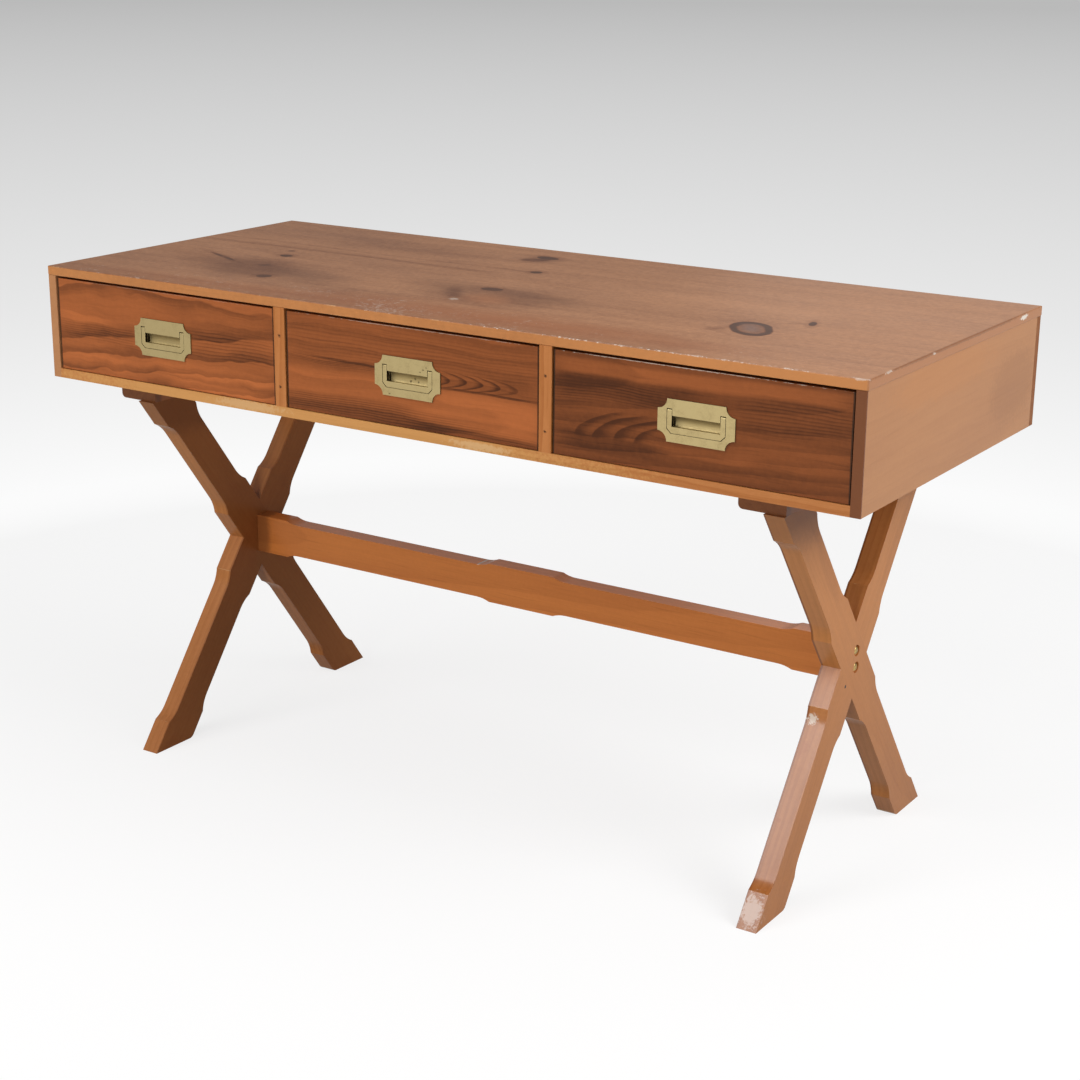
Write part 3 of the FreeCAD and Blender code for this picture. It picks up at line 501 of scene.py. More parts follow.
class Pine:
    """A pine finish in the making: where a point lies in its board, and how the grain bends there."""

    def __init__(self, name, board):
        self.board = board
        self.graph = Graph(name)
        self.point = self.graph.from_point(board.origin)
        self.along, self.across, self.deep = (self.graph.along(self.point, way) for way in board.ways)
        self.seeded = self.along + board.seed
        self.drift = self.drawn_out(self.across, WANDER_NOISE)
        self.ripple = self.drawn_out(self.across, RIPPLE_NOISE)
        self.blotches = self.drawn_out(self.across, BLOTCH_NOISE)
        self.flow = self.bent(board.ripple)

    def drawn_out(self, across, noise):
        """Noise drawn out along the grain."""
        slow, fast, *quality = noise
        point = self.graph.vector(self.seeded * slow, across * fast, self.deep * fast)
        return self.graph.noise(point, 1.0, *quality)

    def bent(self, ripple):
        """The offset across the grain, where the grain wanders and ripples."""
        return self.across + self.drift * self.board.wander + self.ripple * ripple

    def knots_tone(self):
        """How much knots and smoky patches change the tone. A knot also pushes the grain aside."""
        tone = 0
        for knot in self.board.knots:
            across = self.across + self.drift * (self.board.wander * KNOT_DRIFT_SHARE)
            far, offset = spot_distance(knot, self.along, across)
            if knot.soft:
                tone += (far + self.blotches * STAIN_RAGGED_SHARE).fall(*STAIN_SHARES) * knot.heart
                continue
            far = far + self.ripple * KNOT_RIPPLE_SHARE
            halo = far.fall(*KNOT_SHARES[1:])
            self.flow = self.flow - offset * halo * KNOT_PUSH_SHARE
            heart = far.fall(*KNOT_SHARES[:2]) * knot.heart
            rim = far.rise(*KNOT_RIM_SHARES[:2]) * far.fall(*KNOT_RIM_SHARES[2:]) * knot.rim
            tone += heart + rim + halo * (knot.heart * KNOT_HALO_SHARE)
        return tone

    def late_wood(self):
        """1 in the dark late wood of each year's ring, and 0 in the early wood."""
        lean = self.along * self.board.tilt
        rise = self.flow - lean - self.board.heart[0]
        sink = self.deep - lean - self.board.heart[1]
        radius = (rise * rise + sink * sink) ** 0.5
        rings = self.graph.maths("FRACT", radius / self.board.ring + self.drift * RING_DRIFT_SHARE)
        return rings.rise(*LATE_WOOD_SHARES[:2]) * rings.fall(*LATE_WOOD_SHARES[1:])

    def band_tone(self, band):
        """How much one streak, or one zone of fine lines, lifts or lowers the tone."""
        (a0, c0), (a1, c1) = band.start, band.end
        across = self.bent(LINE_RIPPLE) if band.pitch else self.flow
        away = abs(across - (self.along - a0) * ((c1 - c0) / (a1 - a0)) - c0)
        inside = away.fall(*(band.half * part for part in BAND_SIDE_SHARES))
        begun = self.along.rise(a0 - BAND_END_SOFT, a0 + BAND_END_SOFT)
        ended = self.along.fall(a1 - BAND_END_SOFT, a1 + BAND_END_SOFT)
        tone = inside * begun * ended * band.tone
        if band.pitch:
            phase = self.graph.maths("FRACT", across / band.pitch)
            tone = tone * phase.rise(*LINE_SHARES[:2]) * phase.fall(*LINE_SHARES[1:])
        return tone

    def arc_tone(self, arcs):
        """How much a set of nested arches darkens the tone."""
        full, fading, gone = ARC_LINE_SHARES
        v = self.flow - arcs.tip[1]
        u = (self.along + self.ripple * ARC_RIPPLE - arcs.tip[0] - v * arcs.slant) * arcs.way
        run = u + v * v * arcs.bend
        phase = self.graph.maths("FRACT", run / arcs.pitch)
        line = phase.rise(arcs.thin, full) * phase.fall(fading, gone)
        inside = abs(v).fall(arcs.height * ARC_HEIGHT_SHARE, arcs.height) * run.rise(0, arcs.pitch)
        return line * inside * run.fall(arcs.reach * ARC_REACH_SHARE, arcs.reach) * arcs.tone

    def tone(self, late, streaks, fibres, knots):
        """How light the wood is, from 0 to 1."""
        board = self.board
        dashes = self.drawn_out(self.flow, DASH_NOISE).rise(*DASH_SHARES)
        tone = board.tone - late * board.contrast + streaks * board.streak
        tone = tone + fibres * (board.streak * FIBRE_SHARE) + self.blotches * board.blotch
        tone = tone + self.along * board.fade - dashes * board.dashes
        tone = tone + self.graph.noise(self.point, *MOTTLE_NOISE) * board.mottle
        for band in board.bands:
            tone = tone + self.band_tone(band)
        # Painted light and shade by facing: upward faces are darker by shade, and lighter where shade is
        # negative
        if board.polish:
            tone = tone - self.graph.attribute("rim") * board.shade
        for arcs in board.arcs:
            tone = tone + self.arc_tone(arcs)
        tone = tone + knots
        if board.specks:
            flecks = self.graph.noise(self.point, *SPECK_NOISE).rise(*SPECK_SHARES)
            tone = tone + flecks * (self.across.fall(*SPECK_ZONE) * board.specks)
        return tone

    def stained(self, tone):
        """The colour of the wood before wear."""
        board, graph = self.board, self.graph
        dark, light = board.stain
        tints = (dimmed(dark, DEEP_SHARE), opaque(dark), opaque(light), dimmed(light, BRIGHT_SHARE))
        tint = graph.node("ShaderNodeValToRGB", {"stops": list(zip(RAMP_SHARES, tints))}, {"Fac": tone})
        if board.edge:
            varnish = tint_of(board.edge)
            below = self.deep.fall(board.edge_level - EDGE_SOFT, board.edge_level)
            edge = graph.mix(tone.rise(*EDGE_TONE_SHARES), dimmed(varnish, EDGE_DARK_SHARE), opaque(varnish))
            tint = graph.mix(below, tint, edge)
        for stain in board.stains:
            far, _ = spot_distance(stain, self.along, self.across)
            patch = (far + self.blotches * STAIN_RAGGED_SHARE).fall(*STAIN_SHARES) * stain.strength
            tint = graph.mix(patch, tint, opaque(tint_of(stain.tint)))
        return tint


def pine(name, board):
    """A procedural pine finish: rings, fibres, knots, stain, wear and wax."""
    wood = Pine(name, board)
    graph = wood.graph
    knots = wood.knots_tone()
    late = wood.late_wood()
    streaks = wood.drawn_out(wood.flow, STREAK_NOISE)
    fibres = wood.drawn_out(wood.flow, FIBRE_NOISE)
    tint = wood.stained(wood.tone(late, streaks, fibres, knots))
    chips = graph.noise(graph.place(), *CHIP_NOISE)
    patches = graph.noise(graph.place(), *PATCH_NOISE) * PATCH_SHARE
    worn = (chips + patches).rise(*(part - WEAR_GROWTH_SHARE * board.wear for part in WEAR_SHARES))
    rubbed = graph.attribute("arris") * worn
    tint = graph.mix(rubbed * board.wear, tint, opaque(tint_of("bare")))
    tint = spotted(graph, tint, board.scuffs, chips * CHIP_SHARE + patches)
    rough = board.rough + wood.blotches * BLOTCH_ROUGH_SHARE + fibres * FIBRE_ROUGH_SHARE
    rough = rough + rubbed * RUBBED_ROUGH_SHARE
    relief = fibres + streaks - late * LATE_RELIEF_SHARE
    bump = graph.node("ShaderNodeBump", (), {**FIBRE_RELIEF, "Height": relief})
    links = {"Base Color": tint, "Roughness": rough, "Normal": bump}
    if board.polish:
        shine = graph.attribute("rim") * (wood.blotches + POLISH_SHARE) * board.polish
        links["Coat Weight"] = shine + board.coat
    return graph.finish(links, {"Coat Weight": board.coat, "Coat Roughness": board.coat_rough,
                                "Specular IOR Level": board.gloss})


@dataclass
class Alloy:
    """A metal: its bright and tarnished colours, roughness, share of patina, and clouds in a metre."""
    bright: str
    dark: str
    rough: float
    patina: float
    clouds: float


METALS = {
    "aged_brass": Alloy("brass", "brass_dark", 0.58, 0.45, 60.0),
    "dull_bolt_brass": Alloy("bolt", "brass_dark", 0.36, 0.5, 160.0),
    "dull_steel": Alloy("steel", "nail", 0.45, 0.6, 160.0),
    "dark_nails": Alloy("nail", "grime", 0.6, 0.8, 160.0),
}
CLOUD_QUALITY = (5.0, 0.65)
PITS_PER_CLOUD = 9.0
BRUSHED_SHARES = (1.5, 30.0)
PIT_STAIN_SHARE = 0.35
PATINA_SHARES = (-0.05, 0.42)
RUBBED_SHARE = 0.35
RUBBED_BRIGHT_SHARE = 1.15
# Painted light that brightens the front faces deep in a pull's scoop
SCOOP_LIGHT_SHARE = 0.85
SCOOP_LIGHT_BRIGHT_SHARE = 1.2
# Cloudiness of the painted shade in recesses
RECESS_SHADE_CLOUD_SHARES = (-0.6, 0.0)
CLOUD_ROUGH_SHARE = 0.2
PIT_ROUGH_SHARE = 0.12
RUBBED_SMOOTH_SHARE = 0.25
BRUSHED_RELIEF_SHARE = 0.6
METAL_RELIEF = {"Strength": 0.25, "Distance": 0.0001}


def metal(name, scuffs=()):
    """Aged metal: patina in soft clouds, fine pits, rubbed edges, painted shade with some soiling in recesses
    and over the crown's highlight, and painted light in the scoop.
    """
    alloy = METALS[name]
    bright = tint_of(alloy.bright)
    graph = Graph(name)
    point = graph.place()
    clouds = graph.noise(point, alloy.clouds, *CLOUD_QUALITY)
    pits = graph.noise(point, alloy.clouds * PITS_PER_CLOUD)
    slow, fast = (alloy.clouds * part for part in BRUSHED_SHARES)
    x, y, z = (graph.along(point, way) for way in LENGTHWAYS)
    brushed = graph.noise(graph.vector(x * slow, z * fast, y * fast))
    stain = (clouds + pits * PIT_STAIN_SHARE).rise(*PATINA_SHARES) * alloy.patina
    tint = graph.mix(stain, opaque(bright), opaque(tint_of(alloy.dark)))
    rubbed = graph.attribute("arris") * RUBBED_SHARE
    tint = graph.mix(rubbed, tint, dimmed(bright, RUBBED_BRIGHT_SHARE))
    # Painted light in the pull's scoop, where it lies in shade
    tint = graph.mix(graph.attribute("worn") * SCOOP_LIGHT_SHARE, tint, dimmed(bright, SCOOP_LIGHT_BRIGHT_SHARE))
    tint = spotted(graph, tint, scuffs, pits)
    # Painted shade, with some soiling, in recesses and over the crown's highlight
    painted_shade = graph.attribute("grime") * clouds.rise(*RECESS_SHADE_CLOUD_SHARES)
    tint = graph.mix(painted_shade, tint, opaque(tint_of("grime")))
    rough = alloy.rough + clouds * CLOUD_ROUGH_SHARE + pits * PIT_ROUGH_SHARE - rubbed * RUBBED_SMOOTH_SHARE
    bump = graph.node("ShaderNodeBump", (), {**METAL_RELIEF, "Height": pits + brushed * BRUSHED_RELIEF_SHARE})
    return graph.finish({"Base Color": tint, "Roughness": rough, "Normal": bump}, {"Metallic": 1.0})


# Pieces made from the CAD nodes

MERGE_DISTANCE = 0.00001
FLAT_ANGLE = math.radians(0.5)
ARRIS_ANGLE = math.radians(38)
ARRIS_STEPS = 3
KNEE_ANGLES = (math.radians(8), math.radians(62))
KNEE_STEPS = 4
LEVEL_SHARE = 0.95
ROUND_PROFILE_SHARE = 0.5
NORMAL_WEIGHT = 60
# Painted shade, with some soiling: faces deep in a recess, on steep walls and at the crown are darkened
RECESS_SHADE_STARTS = 0.0004
RECESS_SHADE_DEPTH = 0.0016
RECESS_SHADE_WALL_SHARE = 1.8
RECESS_SHADE_LEDGE_SHARE = 0.3
CROWN_SHADE_SHARE = 0.7
CROWN_DEPTH = 0.0015
# Painted light: how deep and how frontal a face must be to be brightened
SCOOP_LIGHT_STARTS = 0.0012
SCOOP_LIGHT_DEPTH = 0.003
SCOOP_LIGHT_FACING_SHARE = 0.25
RIM_FACING_SHARE = 2.0


def merged_mesh(node):
    """A copy of a CAD node's mesh as a bmesh with its triangles joined into flat faces."""
    shape = bmesh.new()
    shape.from_mesh(frame["nodes"][node].data)
    bmesh.ops.remove_doubles(shape, verts=shape.verts, dist=MERGE_DISTANCE)
    bmesh.ops.dissolve_limit(shape, angle_limit=FLAT_ANGLE, verts=shape.verts, edges=shape.edges)
    return shape


def body_of(node):
    """The body that a CAD node belongs to."""
    bodies = frame["record"]["behaviour"]["bodies"]
    return next(body for body, members in bodies.items() if node in members)


def slot_of(node):
    """The material slot that the record gives a CAD node."""
    return next(part["material_slot"] for part in frame["record"]["subparts"] if part["node"] == node)


def settle(piece, node):
    """Let a finished piece stand for a CAD node, on its body; the node's slot is looked up but not given to
    the piece.
    """
    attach(piece, body_of(node))
    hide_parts(node)
    slot_of(node)


def linked(name, data):
    """A new object in the scene."""
    thing = bpy.data.objects.new(name, data)
    bpy.context.scene.collection.objects.link(thing)
    return thing


def plain_mesh(piece):
    """Apply a piece's modifiers for good."""
    bpy.context.view_layer.update()
    evaluated = piece.evaluated_get(bpy.context.evaluated_depsgraph_get())
    mesh = bpy.data.meshes.new_from_object(evaluated)
    piece.modifiers.clear()
    piece.data = mesh


def limited(value):
    """A number held between 0 and 1."""
    return min(max(value, 0.0), 1.0)


def is_knee(edge):
    """Whether an edge is a blunt corner of a leg's outline, between two of its narrow faces."""
    if len(edge.link_faces) != 2:
        return False
    normals = [face.normal for face in edge.link_faces]
    level = any(abs(normal.z) > LEVEL_SHARE or abs(normal.x) > 1 - LEVEL_SHARE for normal in normals)
    return not level and KNEE_ANGLES[0] < edge.calc_face_angle(0.0) < KNEE_ANGLES[1]


def is_sharp(edge):
    """Whether two faces meet at an edge in a sharp corner."""
    return len(edge.link_faces) == 2 and edge.calc_face_angle(0.0) > ARRIS_ANGLE


def round_edges(shape, test, width, steps):
    """Round the edges of a bmesh that pass a test."""
    bmesh.ops.bevel(shape, geom=[edge for edge in shape.edges if test(edge)], offset=width, segments=steps,
                    profile=ROUND_PROFILE_SHARE, affect="EDGES", clamp_overlap=True)


def mark_faces(shape, arris):
    """Write on each face whether it is an arris, how much painted shade it takes in recesses and at its
    crown, how much painted light it takes deep in a scoop, and how much it faces upwards.
    """
    layers = shape.faces.layers.float
    edge, painted_shade, rim, worn = (layers.new(name) for name in ("arris", "grime", "rim", "worn"))
    front = min(vert.co.y for vert in shape.verts)
    crown = max(vert.co.z for vert in shape.verts) - CROWN_DEPTH
    for face in shape.faces:
        face.smooth = True
        normal, middle = face.normal, face.calc_center_median()
        deep = middle.y - front
        # Painted shade on recess walls, and over the highlight at the crown
        wall = RECESS_SHADE_WALL_SHARE * abs(normal.x) + RECESS_SHADE_LEDGE_SHARE * abs(normal.z)
        tip = CROWN_SHADE_SHARE * max(0, normal.z) * (middle.z > crown)
        face[edge] = float(face.calc_area() < max(side.calc_length() for side in face.edges) * arris)
        face[painted_shade] = max(tip, limited((deep - RECESS_SHADE_STARTS) / RECESS_SHADE_DEPTH) * limited(wall))
        # Painted light on front-facing faces deep in a recess, such as the pull's scoop
        face[worn] = limited((deep - SCOOP_LIGHT_STARTS) / SCOOP_LIGHT_DEPTH) * (normal.y < -SCOOP_LIGHT_FACING_SHARE)
        face[rim] = limited(RIM_FACING_SHARE * normal.z) * (1 - abs(normal.x))


def eased(node, arris, material, knee=0):
    """A copy of a CAD node with its sharp edges softened, marked for wear and for painted light and shade,
    and shaded true.
    """
    shape = merged_mesh(node)
    if knee:
        round_edges(shape, is_knee, knee, KNEE_STEPS)
    round_edges(shape, is_sharp, arris, ARRIS_STEPS)
    mark_faces(shape, arris)
    mesh = bpy.data.meshes.new(f"{node}_eased")
    shape.to_mesh(mesh)
    shape.free()
    mesh.materials.append(material)
    mesh.set_sharp_from_angle(angle=ARRIS_ANGLE)
    piece = linked(f"{node}_eased", mesh)
    normals = piece.modifiers.new("Normals", "WEIGHTED_NORMAL")
    normals.weight = NORMAL_WEIGHT
    normals.keep_sharp = True
    plain_mesh(piece)
    settle(piece, node)


def paint(node, material):
    """Give a CAD node that stays as it is a finish."""
    slots = frame["nodes"][node].data.materials
    slots.clear()
    slots.append(material)


def solids_of(node):
    """The box of each separate solid of a CAD node."""
    shape = merged_mesh(node)
    waiting = set(shape.verts)
    boxes = []
    while waiting:
        front = [waiting.pop()]
        island = []
        while front:
            vert = front.pop()
            island.append(vert.co.copy())
            near = {edge.other_vert(vert) for edge in vert.link_edges} & waiting
            waiting -= near
            front.extend(near)
        boxes.append(tuple(Vector([pick(c[i] for c in island) for i in range(3)]) for pick in (min, max)))
    shape.free()
    return boxes


def marks_from(node, shares, marks):
    """Marks whose places are measured from a point of a node's box, itself given as shares of its sides."""
    low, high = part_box(node)
    spot = [low[i] + (high[i] - low[i]) * shares[i] for i in range(3)]
    return [replace(mark, place=tuple(map(sum, zip(spot, mark.place)))) for mark in marks]


# How each kind of board is cut, stained and worn, with painted light and shade on the legs and stretcher
BOX_CUT = dict(ring=0.015, contrast=0.12, wander=0.03, wear=0.2, rough=0.6, coat=0.0)
CUTS = {
    "top": dict(tone=0.66, ring=0.030, contrast=0.06, heart=(0.05, 0.55), tilt=0.01, wander=0.03, fade=0.1,
                streak=0.19, blotch=0.38, dashes=0.10, specks=0.3, mottle=0.42, wear=0.4, rough=0.38,
                gloss=0.4),
    "bottom": dict(ring=0.016, contrast=0.14, wear=0.6),
    "sides": dict(tone=0.6, ring=0.02, contrast=0.03, blotch=0.32, streak=0.09, dashes=0.05, wear=0.45),
    "dividers": dict(ring=0.007, contrast=0.16, wear=0.5),
    "back": dict(ring=0.024, contrast=0.12, wander=0.05, tilt=0.06, wear=0.3, rough=0.55, coat=0.0),
    "fronts": dict(tilt=0.04, wander=0.022, dashes=0.06, blotch=0.12, wear=0.3, rough=0.36, gloss=0.14),
    "box_sides": BOX_CUT,
    "box_backs": BOX_CUT,
    "box_bottoms": dict(BOX_CUT, ring=0.03, contrast=0.1, wander=0.05),
    # Painted shade: fade makes the legs darker towards their feet
    "legs": dict(ring=0.011, contrast=0.045, streak=0.1, dashes=0.04, blotch=0.24, fade=0.3, wear=0.7,
                 rough=0.36, coat=0.04, coat_rough=0.2, polish=1.0),
    # Painted light: the negative shade makes the stretcher's upward faces lighter
    "stretcher": dict(tone=0.55, ring=0.012, contrast=0.07, streak=0.12, wear=0.55, rough=0.36, polish=1.0,
                      shade=-0.45),
    "battens": dict(tone=0.34, ring=0.012, contrast=0.05, streak=0.1, wear=0.4),
}

# Points of a node's box, as shares of its sides
RIGHT_FRONT_UPPER_SHARES = (1, 0, 1)
RIGHT_FRONT_LOWER_SHARES = (1, 0, 0)
FRONT_LOWER_SHARES = (0.5, 0, 0)
FRONT_MIDDLE_SHARES = (0.5, 0, 0.5)
LEFT_END_SHARES = (0, 0, 0.5)
RIGHT_END_SHARES = (1, 0, 0.5)

# The top board, from its middle
TOP_KNOTS = [
    Knot((-0.098, 0.211), (0.020, 0.012), -10, -0.72),
    Knot((-0.105, 0.184), (0.024, 0.015), 25, -0.36),
    Knot((-0.043, 0.094), (0.010, 0.009), 0, -0.65),
    Knot((-0.455, 0.033), (0.006, 0.005), 0, -0.35),
    Knot((-0.433, -0.007), (0.012, 0.009), -20, -0.68),
    Knot((-0.508, -0.066), (0.050, 0.005), -27, -0.36),
    Knot((-0.405, -0.088), (0.014, 0.010), 20, -0.22),
    Knot((-0.345, -0.161), (0.012, 0.011), 0, -0.68),
    Knot((-0.018, -0.057), (0.018, 0.012), 0, -0.74),
    Knot((-0.052, -0.098), (0.050, 0.016), -55, -0.30, soft=True),
    Knot((0.410, -0.093), (0.045, 0.026), -54, -0.30, -0.60),
    Knot((0.372, -0.115), (0.030, 0.014), 65, -0.22, soft=True),
    Knot((0.461, -0.020), (0.016, 0.006), -72, -0.62),
    Knot((0.440, -0.034), (0.026, 0.005), 30, -0.22, soft=True),
    Knot((-0.40, -0.10), (0.10, 0.070), -35, -0.24, soft=True),
    Knot((-0.50, -0.10), (0.16, 0.050), -25, -0.16, soft=True),
    Knot((0.055, -0.105), (0.10, 0.070), -20, -0.22, soft=True),
    Knot((-0.01, -0.14), (0.10, 0.035), -20, -0.16, soft=True),
    Knot((0.017, -0.115), (0.055, 0.035), -35, 0.26, soft=True),
    Knot((-0.30, 0.15), (0.20, 0.07), 0, -0.10, soft=True),
]
TOP_BANDS = [
    Band((-0.66, 0.058), (-0.10, 0.055), 0.010, -0.16),
    Band((-0.66, 0.095), (-0.05, 0.090), 0.006, -0.10),
    Band((-0.66, -0.262), (0.40, -0.268), 0.030, -0.11),
    Band((-0.20, -0.200), (0.42, -0.21), 0.050, -0.06),
    Band((0.15, 0.10), (0.66, 0.06), 0.09, 0.05),
    Band((0.08, 0.03), (0.46, 0.02), 0.05, 0.07),
]
TOP_STAINS = [
    Stain((0.13, -0.225), (0.36, 0.07), 0, 0.68, "warm"),
    Stain((0.017, -0.115), (0.06, 0.04), -35, 0.5, "warm"),
    Stain((-0.35, -0.25), (0.30, 0.04), 0, 0.35, "warm"),
    Stain((-0.43, -0.12), (0.14, 0.07), -30, 0.48, "umber"),
    Stain((0.075, -0.085), (0.12, 0.055), -10, 0.42, "umber"),
    Stain((-0.055, -0.10), (0.05, 0.022), -50, 0.45, "umber"),
    Stain((-0.07, -0.08), (0.13, 0.06), -5, 0.40, "umber"),
    Stain((-0.31, -0.12), (0.15, 0.07), -20, 0.42, "umber"),
    Stain((-0.10, 0.185), (0.035, 0.022), 20, 0.30, "umber"),
    Stain((0.410, -0.093), (0.034, 0.017), -54, 0.45, "slate"),
]

# Marks on the top board, from its right front upper corner
TOP_MARKS = [
    Scuff((0.002, 0.280, -0.010), (0.006, 0.9, 0.06), 0.85, "side_mean", 0.1),
    Scuff((-0.0005, 0.260, -0.0005), (0.003, 0.34, 0.004), 0.45, "umber", 0.5),
    Scuff((0, 0.491, -0.005), (0.004, 0.018, 0.004)),
    Scuff((-0.679, 0.134, 0), (0.008, 0.007, 0.004), 0.35),
    Scuff((-0.260, -0.001, 0.0022), (0.30, 0.008, 0.003), 0.7, "chalk", 1.5),
    Scuff((-0.910, 0.020, 0.0042), (0.60, 0.06, 0.003), 0.26, "chalk", 2.5),
    Scuff((-0.010, 0.0015, -0.0005), (0.014, 0.004, 0.002), 0.4),
    Scuff((-0.0008, 0.055, -0.001), (0.003, 0.016, 0.002), 0.5),
    Scuff((-0.0008, 0.190, -0.002), (0.003, 0.008, 0.002), 0.6),
]

# Marks on the bottom board, from the middle of its front lower edge
BOTTOM_MARKS = [
    Scuff((-0.160, 0, 0.0065), (0.62, 0.004, 0.040), 0.5, "gold", 0.4),
    Scuff((-0.285, 0, 0.0075), (0.085, 0.004, 0.008), 0.5, "bare"),
    Scuff((0.123, 0, 0.0065), (0.060, 0.004, 0.007), 0.6, "bare"),
]

# Marks on the sides, from the right one's outer front lower corner
SIDE_MARKS = [
    # Painted shade down the front edge of the right side panel
    Scuff((-0.0088, 0, 0.0815), (0.06, 0.0030, 0.40), 0.85, "mahogany", 0.1),
    Scuff((0.0002, 0.470, 0.0715), (0.01, 0.10, 0.07), 0.16, "umber", 0.4),
    Scuff((0.0002, 0.230, 0.1315), (0.01, 0.22, 0.04), 0.25, "honey", 0.4),
]
NAIL_HALO = Scuff((0, 0, 0), (0.0032, 0.004, 0.0032), 0.6, "umber")
BACK_END = Scuff((0, 0, 0), (0.003, 0.1, 0.6), 0.6, "umber", 0.1)
CASE_BOARDS = {
    "bottom": ("case", LENGTHWAYS, ("bottom_board",)),
    "sides": ("side", SIDEWAYS, ("left_side_panel", "right_side_panel")),
    "dividers": ("case", UPRIGHT, ("left_divider", "right_divider", "left_divider_facing",
                                   "right_divider_facing")),
    "back": ("case", FACING, ("back_panel",)),
}

# The drawer fronts, each from its middle
FRONTS = {
    "left": dict(tone=0.64, ring=0.017, contrast=0.22, ripple=0.028, heart=(0.03, 0.05), streak=0.13),
    "middle": dict(tone=0.53, ring=0.013, contrast=0.08, ripple=0.0045, heart=(-0.05, 0.09), streak=0.1),
    "right": dict(tone=0.415, ring=0.013, contrast=0.07, ripple=0.006, heart=(0.06, 0.07), streak=0.08),
}
FRONT_BANDS = {
    "left": [
        Band((-0.205, -0.050), (-0.06, -0.044), 0.012, 0.12),
        Band((-0.02, -0.040), (0.205, -0.036), 0.010, 0.14),
        Band((0.02, -0.060), (0.185, -0.059), 0.008, 0.18),
        Band((0.055, 0.000), (0.205, -0.008), 0.022, -0.05),
        Band((-0.205, 0.000), (-0.05, -0.012), 0.014, -0.05),
        Band((-0.205, 0.018), (-0.10, 0.014), 0.006, 0.12),
        Band((0.060, 0.040), (0.205, 0.044), 0.012, 0.10),
        Band((-0.205, -0.003), (-0.045, -0.006), 0.016, -0.10, 0.0036),
        Band((0.050, 0.003), (0.205, 0.001), 0.021, -0.13, 0.0044),
    ],
    "middle": [
        Band((-0.23, -0.022), (0.23, -0.026), 0.020, 0.15),
        Band((0.050, -0.026), (0.23, -0.030), 0.016, 0.05),
        Band((-0.23, -0.060), (0.05, -0.062), 0.010, -0.12),
        Band((0.02, -0.063), (0.23, -0.066), 0.006, -0.12),
        Band((0.01, -0.048), (0.21, -0.050), 0.012, 0.16),
        Band((-0.160, 0.014), (-0.03, 0.006), 0.002, -0.16),
        Band((0.05, -0.006), (0.20, -0.006), 0.002, -0.22),
        Band((0.14, 0.012), (0.205, 0.008), 0.010, -0.10),
        Band((-0.205, -0.052), (0.080, -0.058), 0.014, -0.14, 0.0032),
        Band((-0.205, 0.036), (0.205, 0.036), 0.030, -0.06, 0.0046),
        Band((-0.190, 0.010), (-0.040, 0.004), 0.006, -0.12, 0.0022),
        Band((0.060, -0.058), (0.205, -0.062), 0.008, -0.10, 0.0030),
    ],
    "right": [
        Band((-0.205, 0.052), (0.205, 0.054), 0.011, 0.17),
        Band((-0.205, 0.026), (0.0, 0.028), 0.016, -0.10),
        Band((0.050, -0.020), (0.205, -0.026), 0.020, 0.07),
        Band((-0.050, -0.036), (0.080, -0.036), 0.008, 0.10),
        Band((-0.190, -0.046), (-0.05, -0.048), 0.014, -0.09),
        Band((0.060, 0.018), (0.205, 0.026), 0.022, -0.09, 0.0042),
        Band((-0.205, 0.016), (-0.045, 0.024), 0.016, -0.08, 0.0038),
    ],
}
FRONT_ARCS = {
    "left": [],
    "middle": [Arcs((0.046, 0.0055), 1, 0.15, 0.026, 290.0, 0.0130, 0.0, -0.22, 0.4)],
    "right": [Arcs((-0.045, -0.020), -1, 0.135, 0.028, 50.0, 0.020, 1.9, -0.16, 0.15)],
}
FRONT_CHIPS = {"left": 0.1, "middle": 0.25, "right": 0.5}
FRONT_CHIP_HALF = (0.0012, 0.0012)
# Painted shade along each drawer front's ends, beside the gaps
FRONT_END = Scuff((0, 0, 0), (0.0026, 0.02, 0.3), 0.8, "grime", 0.1)
FRONT_SEED_STEP = 3.7

# The drawer boxes
BOX_WAYS = {"sides": SIDEWAYS, "backs": FACING, "bottoms": LENGTHWAYS}
BOX_PARTS = {"drawer_left_side": "sides", "drawer_right_side": "sides", "drawer_back": "backs",
             "drawer_bottom": "bottoms"}

# The trestles
LEAN_ANGLE = math.radians(36.6)
LEG_LEANS = {"front_top_leg": 1, "back_top_leg": -1}
# Painted shade: the left trestle's legs take a darker tone than the right's; shade darkens the right legs'
# upward faces and slightly lightens the left's
LEGS = {"left": dict(tone=0.50, shade=-0.02, gloss=0.05), "right": dict(tone=0.59, shade=0.16, gloss=0.12)}
# Painted shade on the legs' inner faces, at a strength for each side
LEG_INNER = Scuff((0, 0, 0), (0.004, 0.6, 0.6), 1.0, "mahogany", 0.1)
LEG_INNER_STRENGTHS = {"left": 0.36, "right": 0.66}
# Painted shadow of the case across the heads of the legs
LEG_HEAD = Scuff((0, 0, 0), (0.1, 0.6, 0.08), 0.4, "umber", 0.1)
# Painted shade at the battens' front ends, under the case
BATTEN_END = Scuff((0, 0, 0), (2.0, 0.02, 0.1), 0.6, "umber", 0.1)

# Marks on the right legs, from the stretcher's right end
LEG_MARKS = [
    # Pale foot: rubbed pine under a painted sheen
    Scuff((0.0142, -0.2365, -0.2725), (0.018, 0.025, 0.028), 0.6, "pale"),
    Scuff((0.0064, -0.1570, -0.1779), (0.006, 0.006, 0.004), 0.6, "warm"),
    Scuff((0.0082, -0.0956, -0.0952), (0.010, 0.012, 0.016), 0.4, "warm"),
    # Painted highlight on a knee of the right trestle
    Scuff((0.0084, -0.0725, -0.0615), (0.012, 0.012, 0.009), 0.7),
    Scuff((0.0290, -0.0170, -0.0299), (0.004, 0.0025, 0.0025), 1.0, "grime"),
]

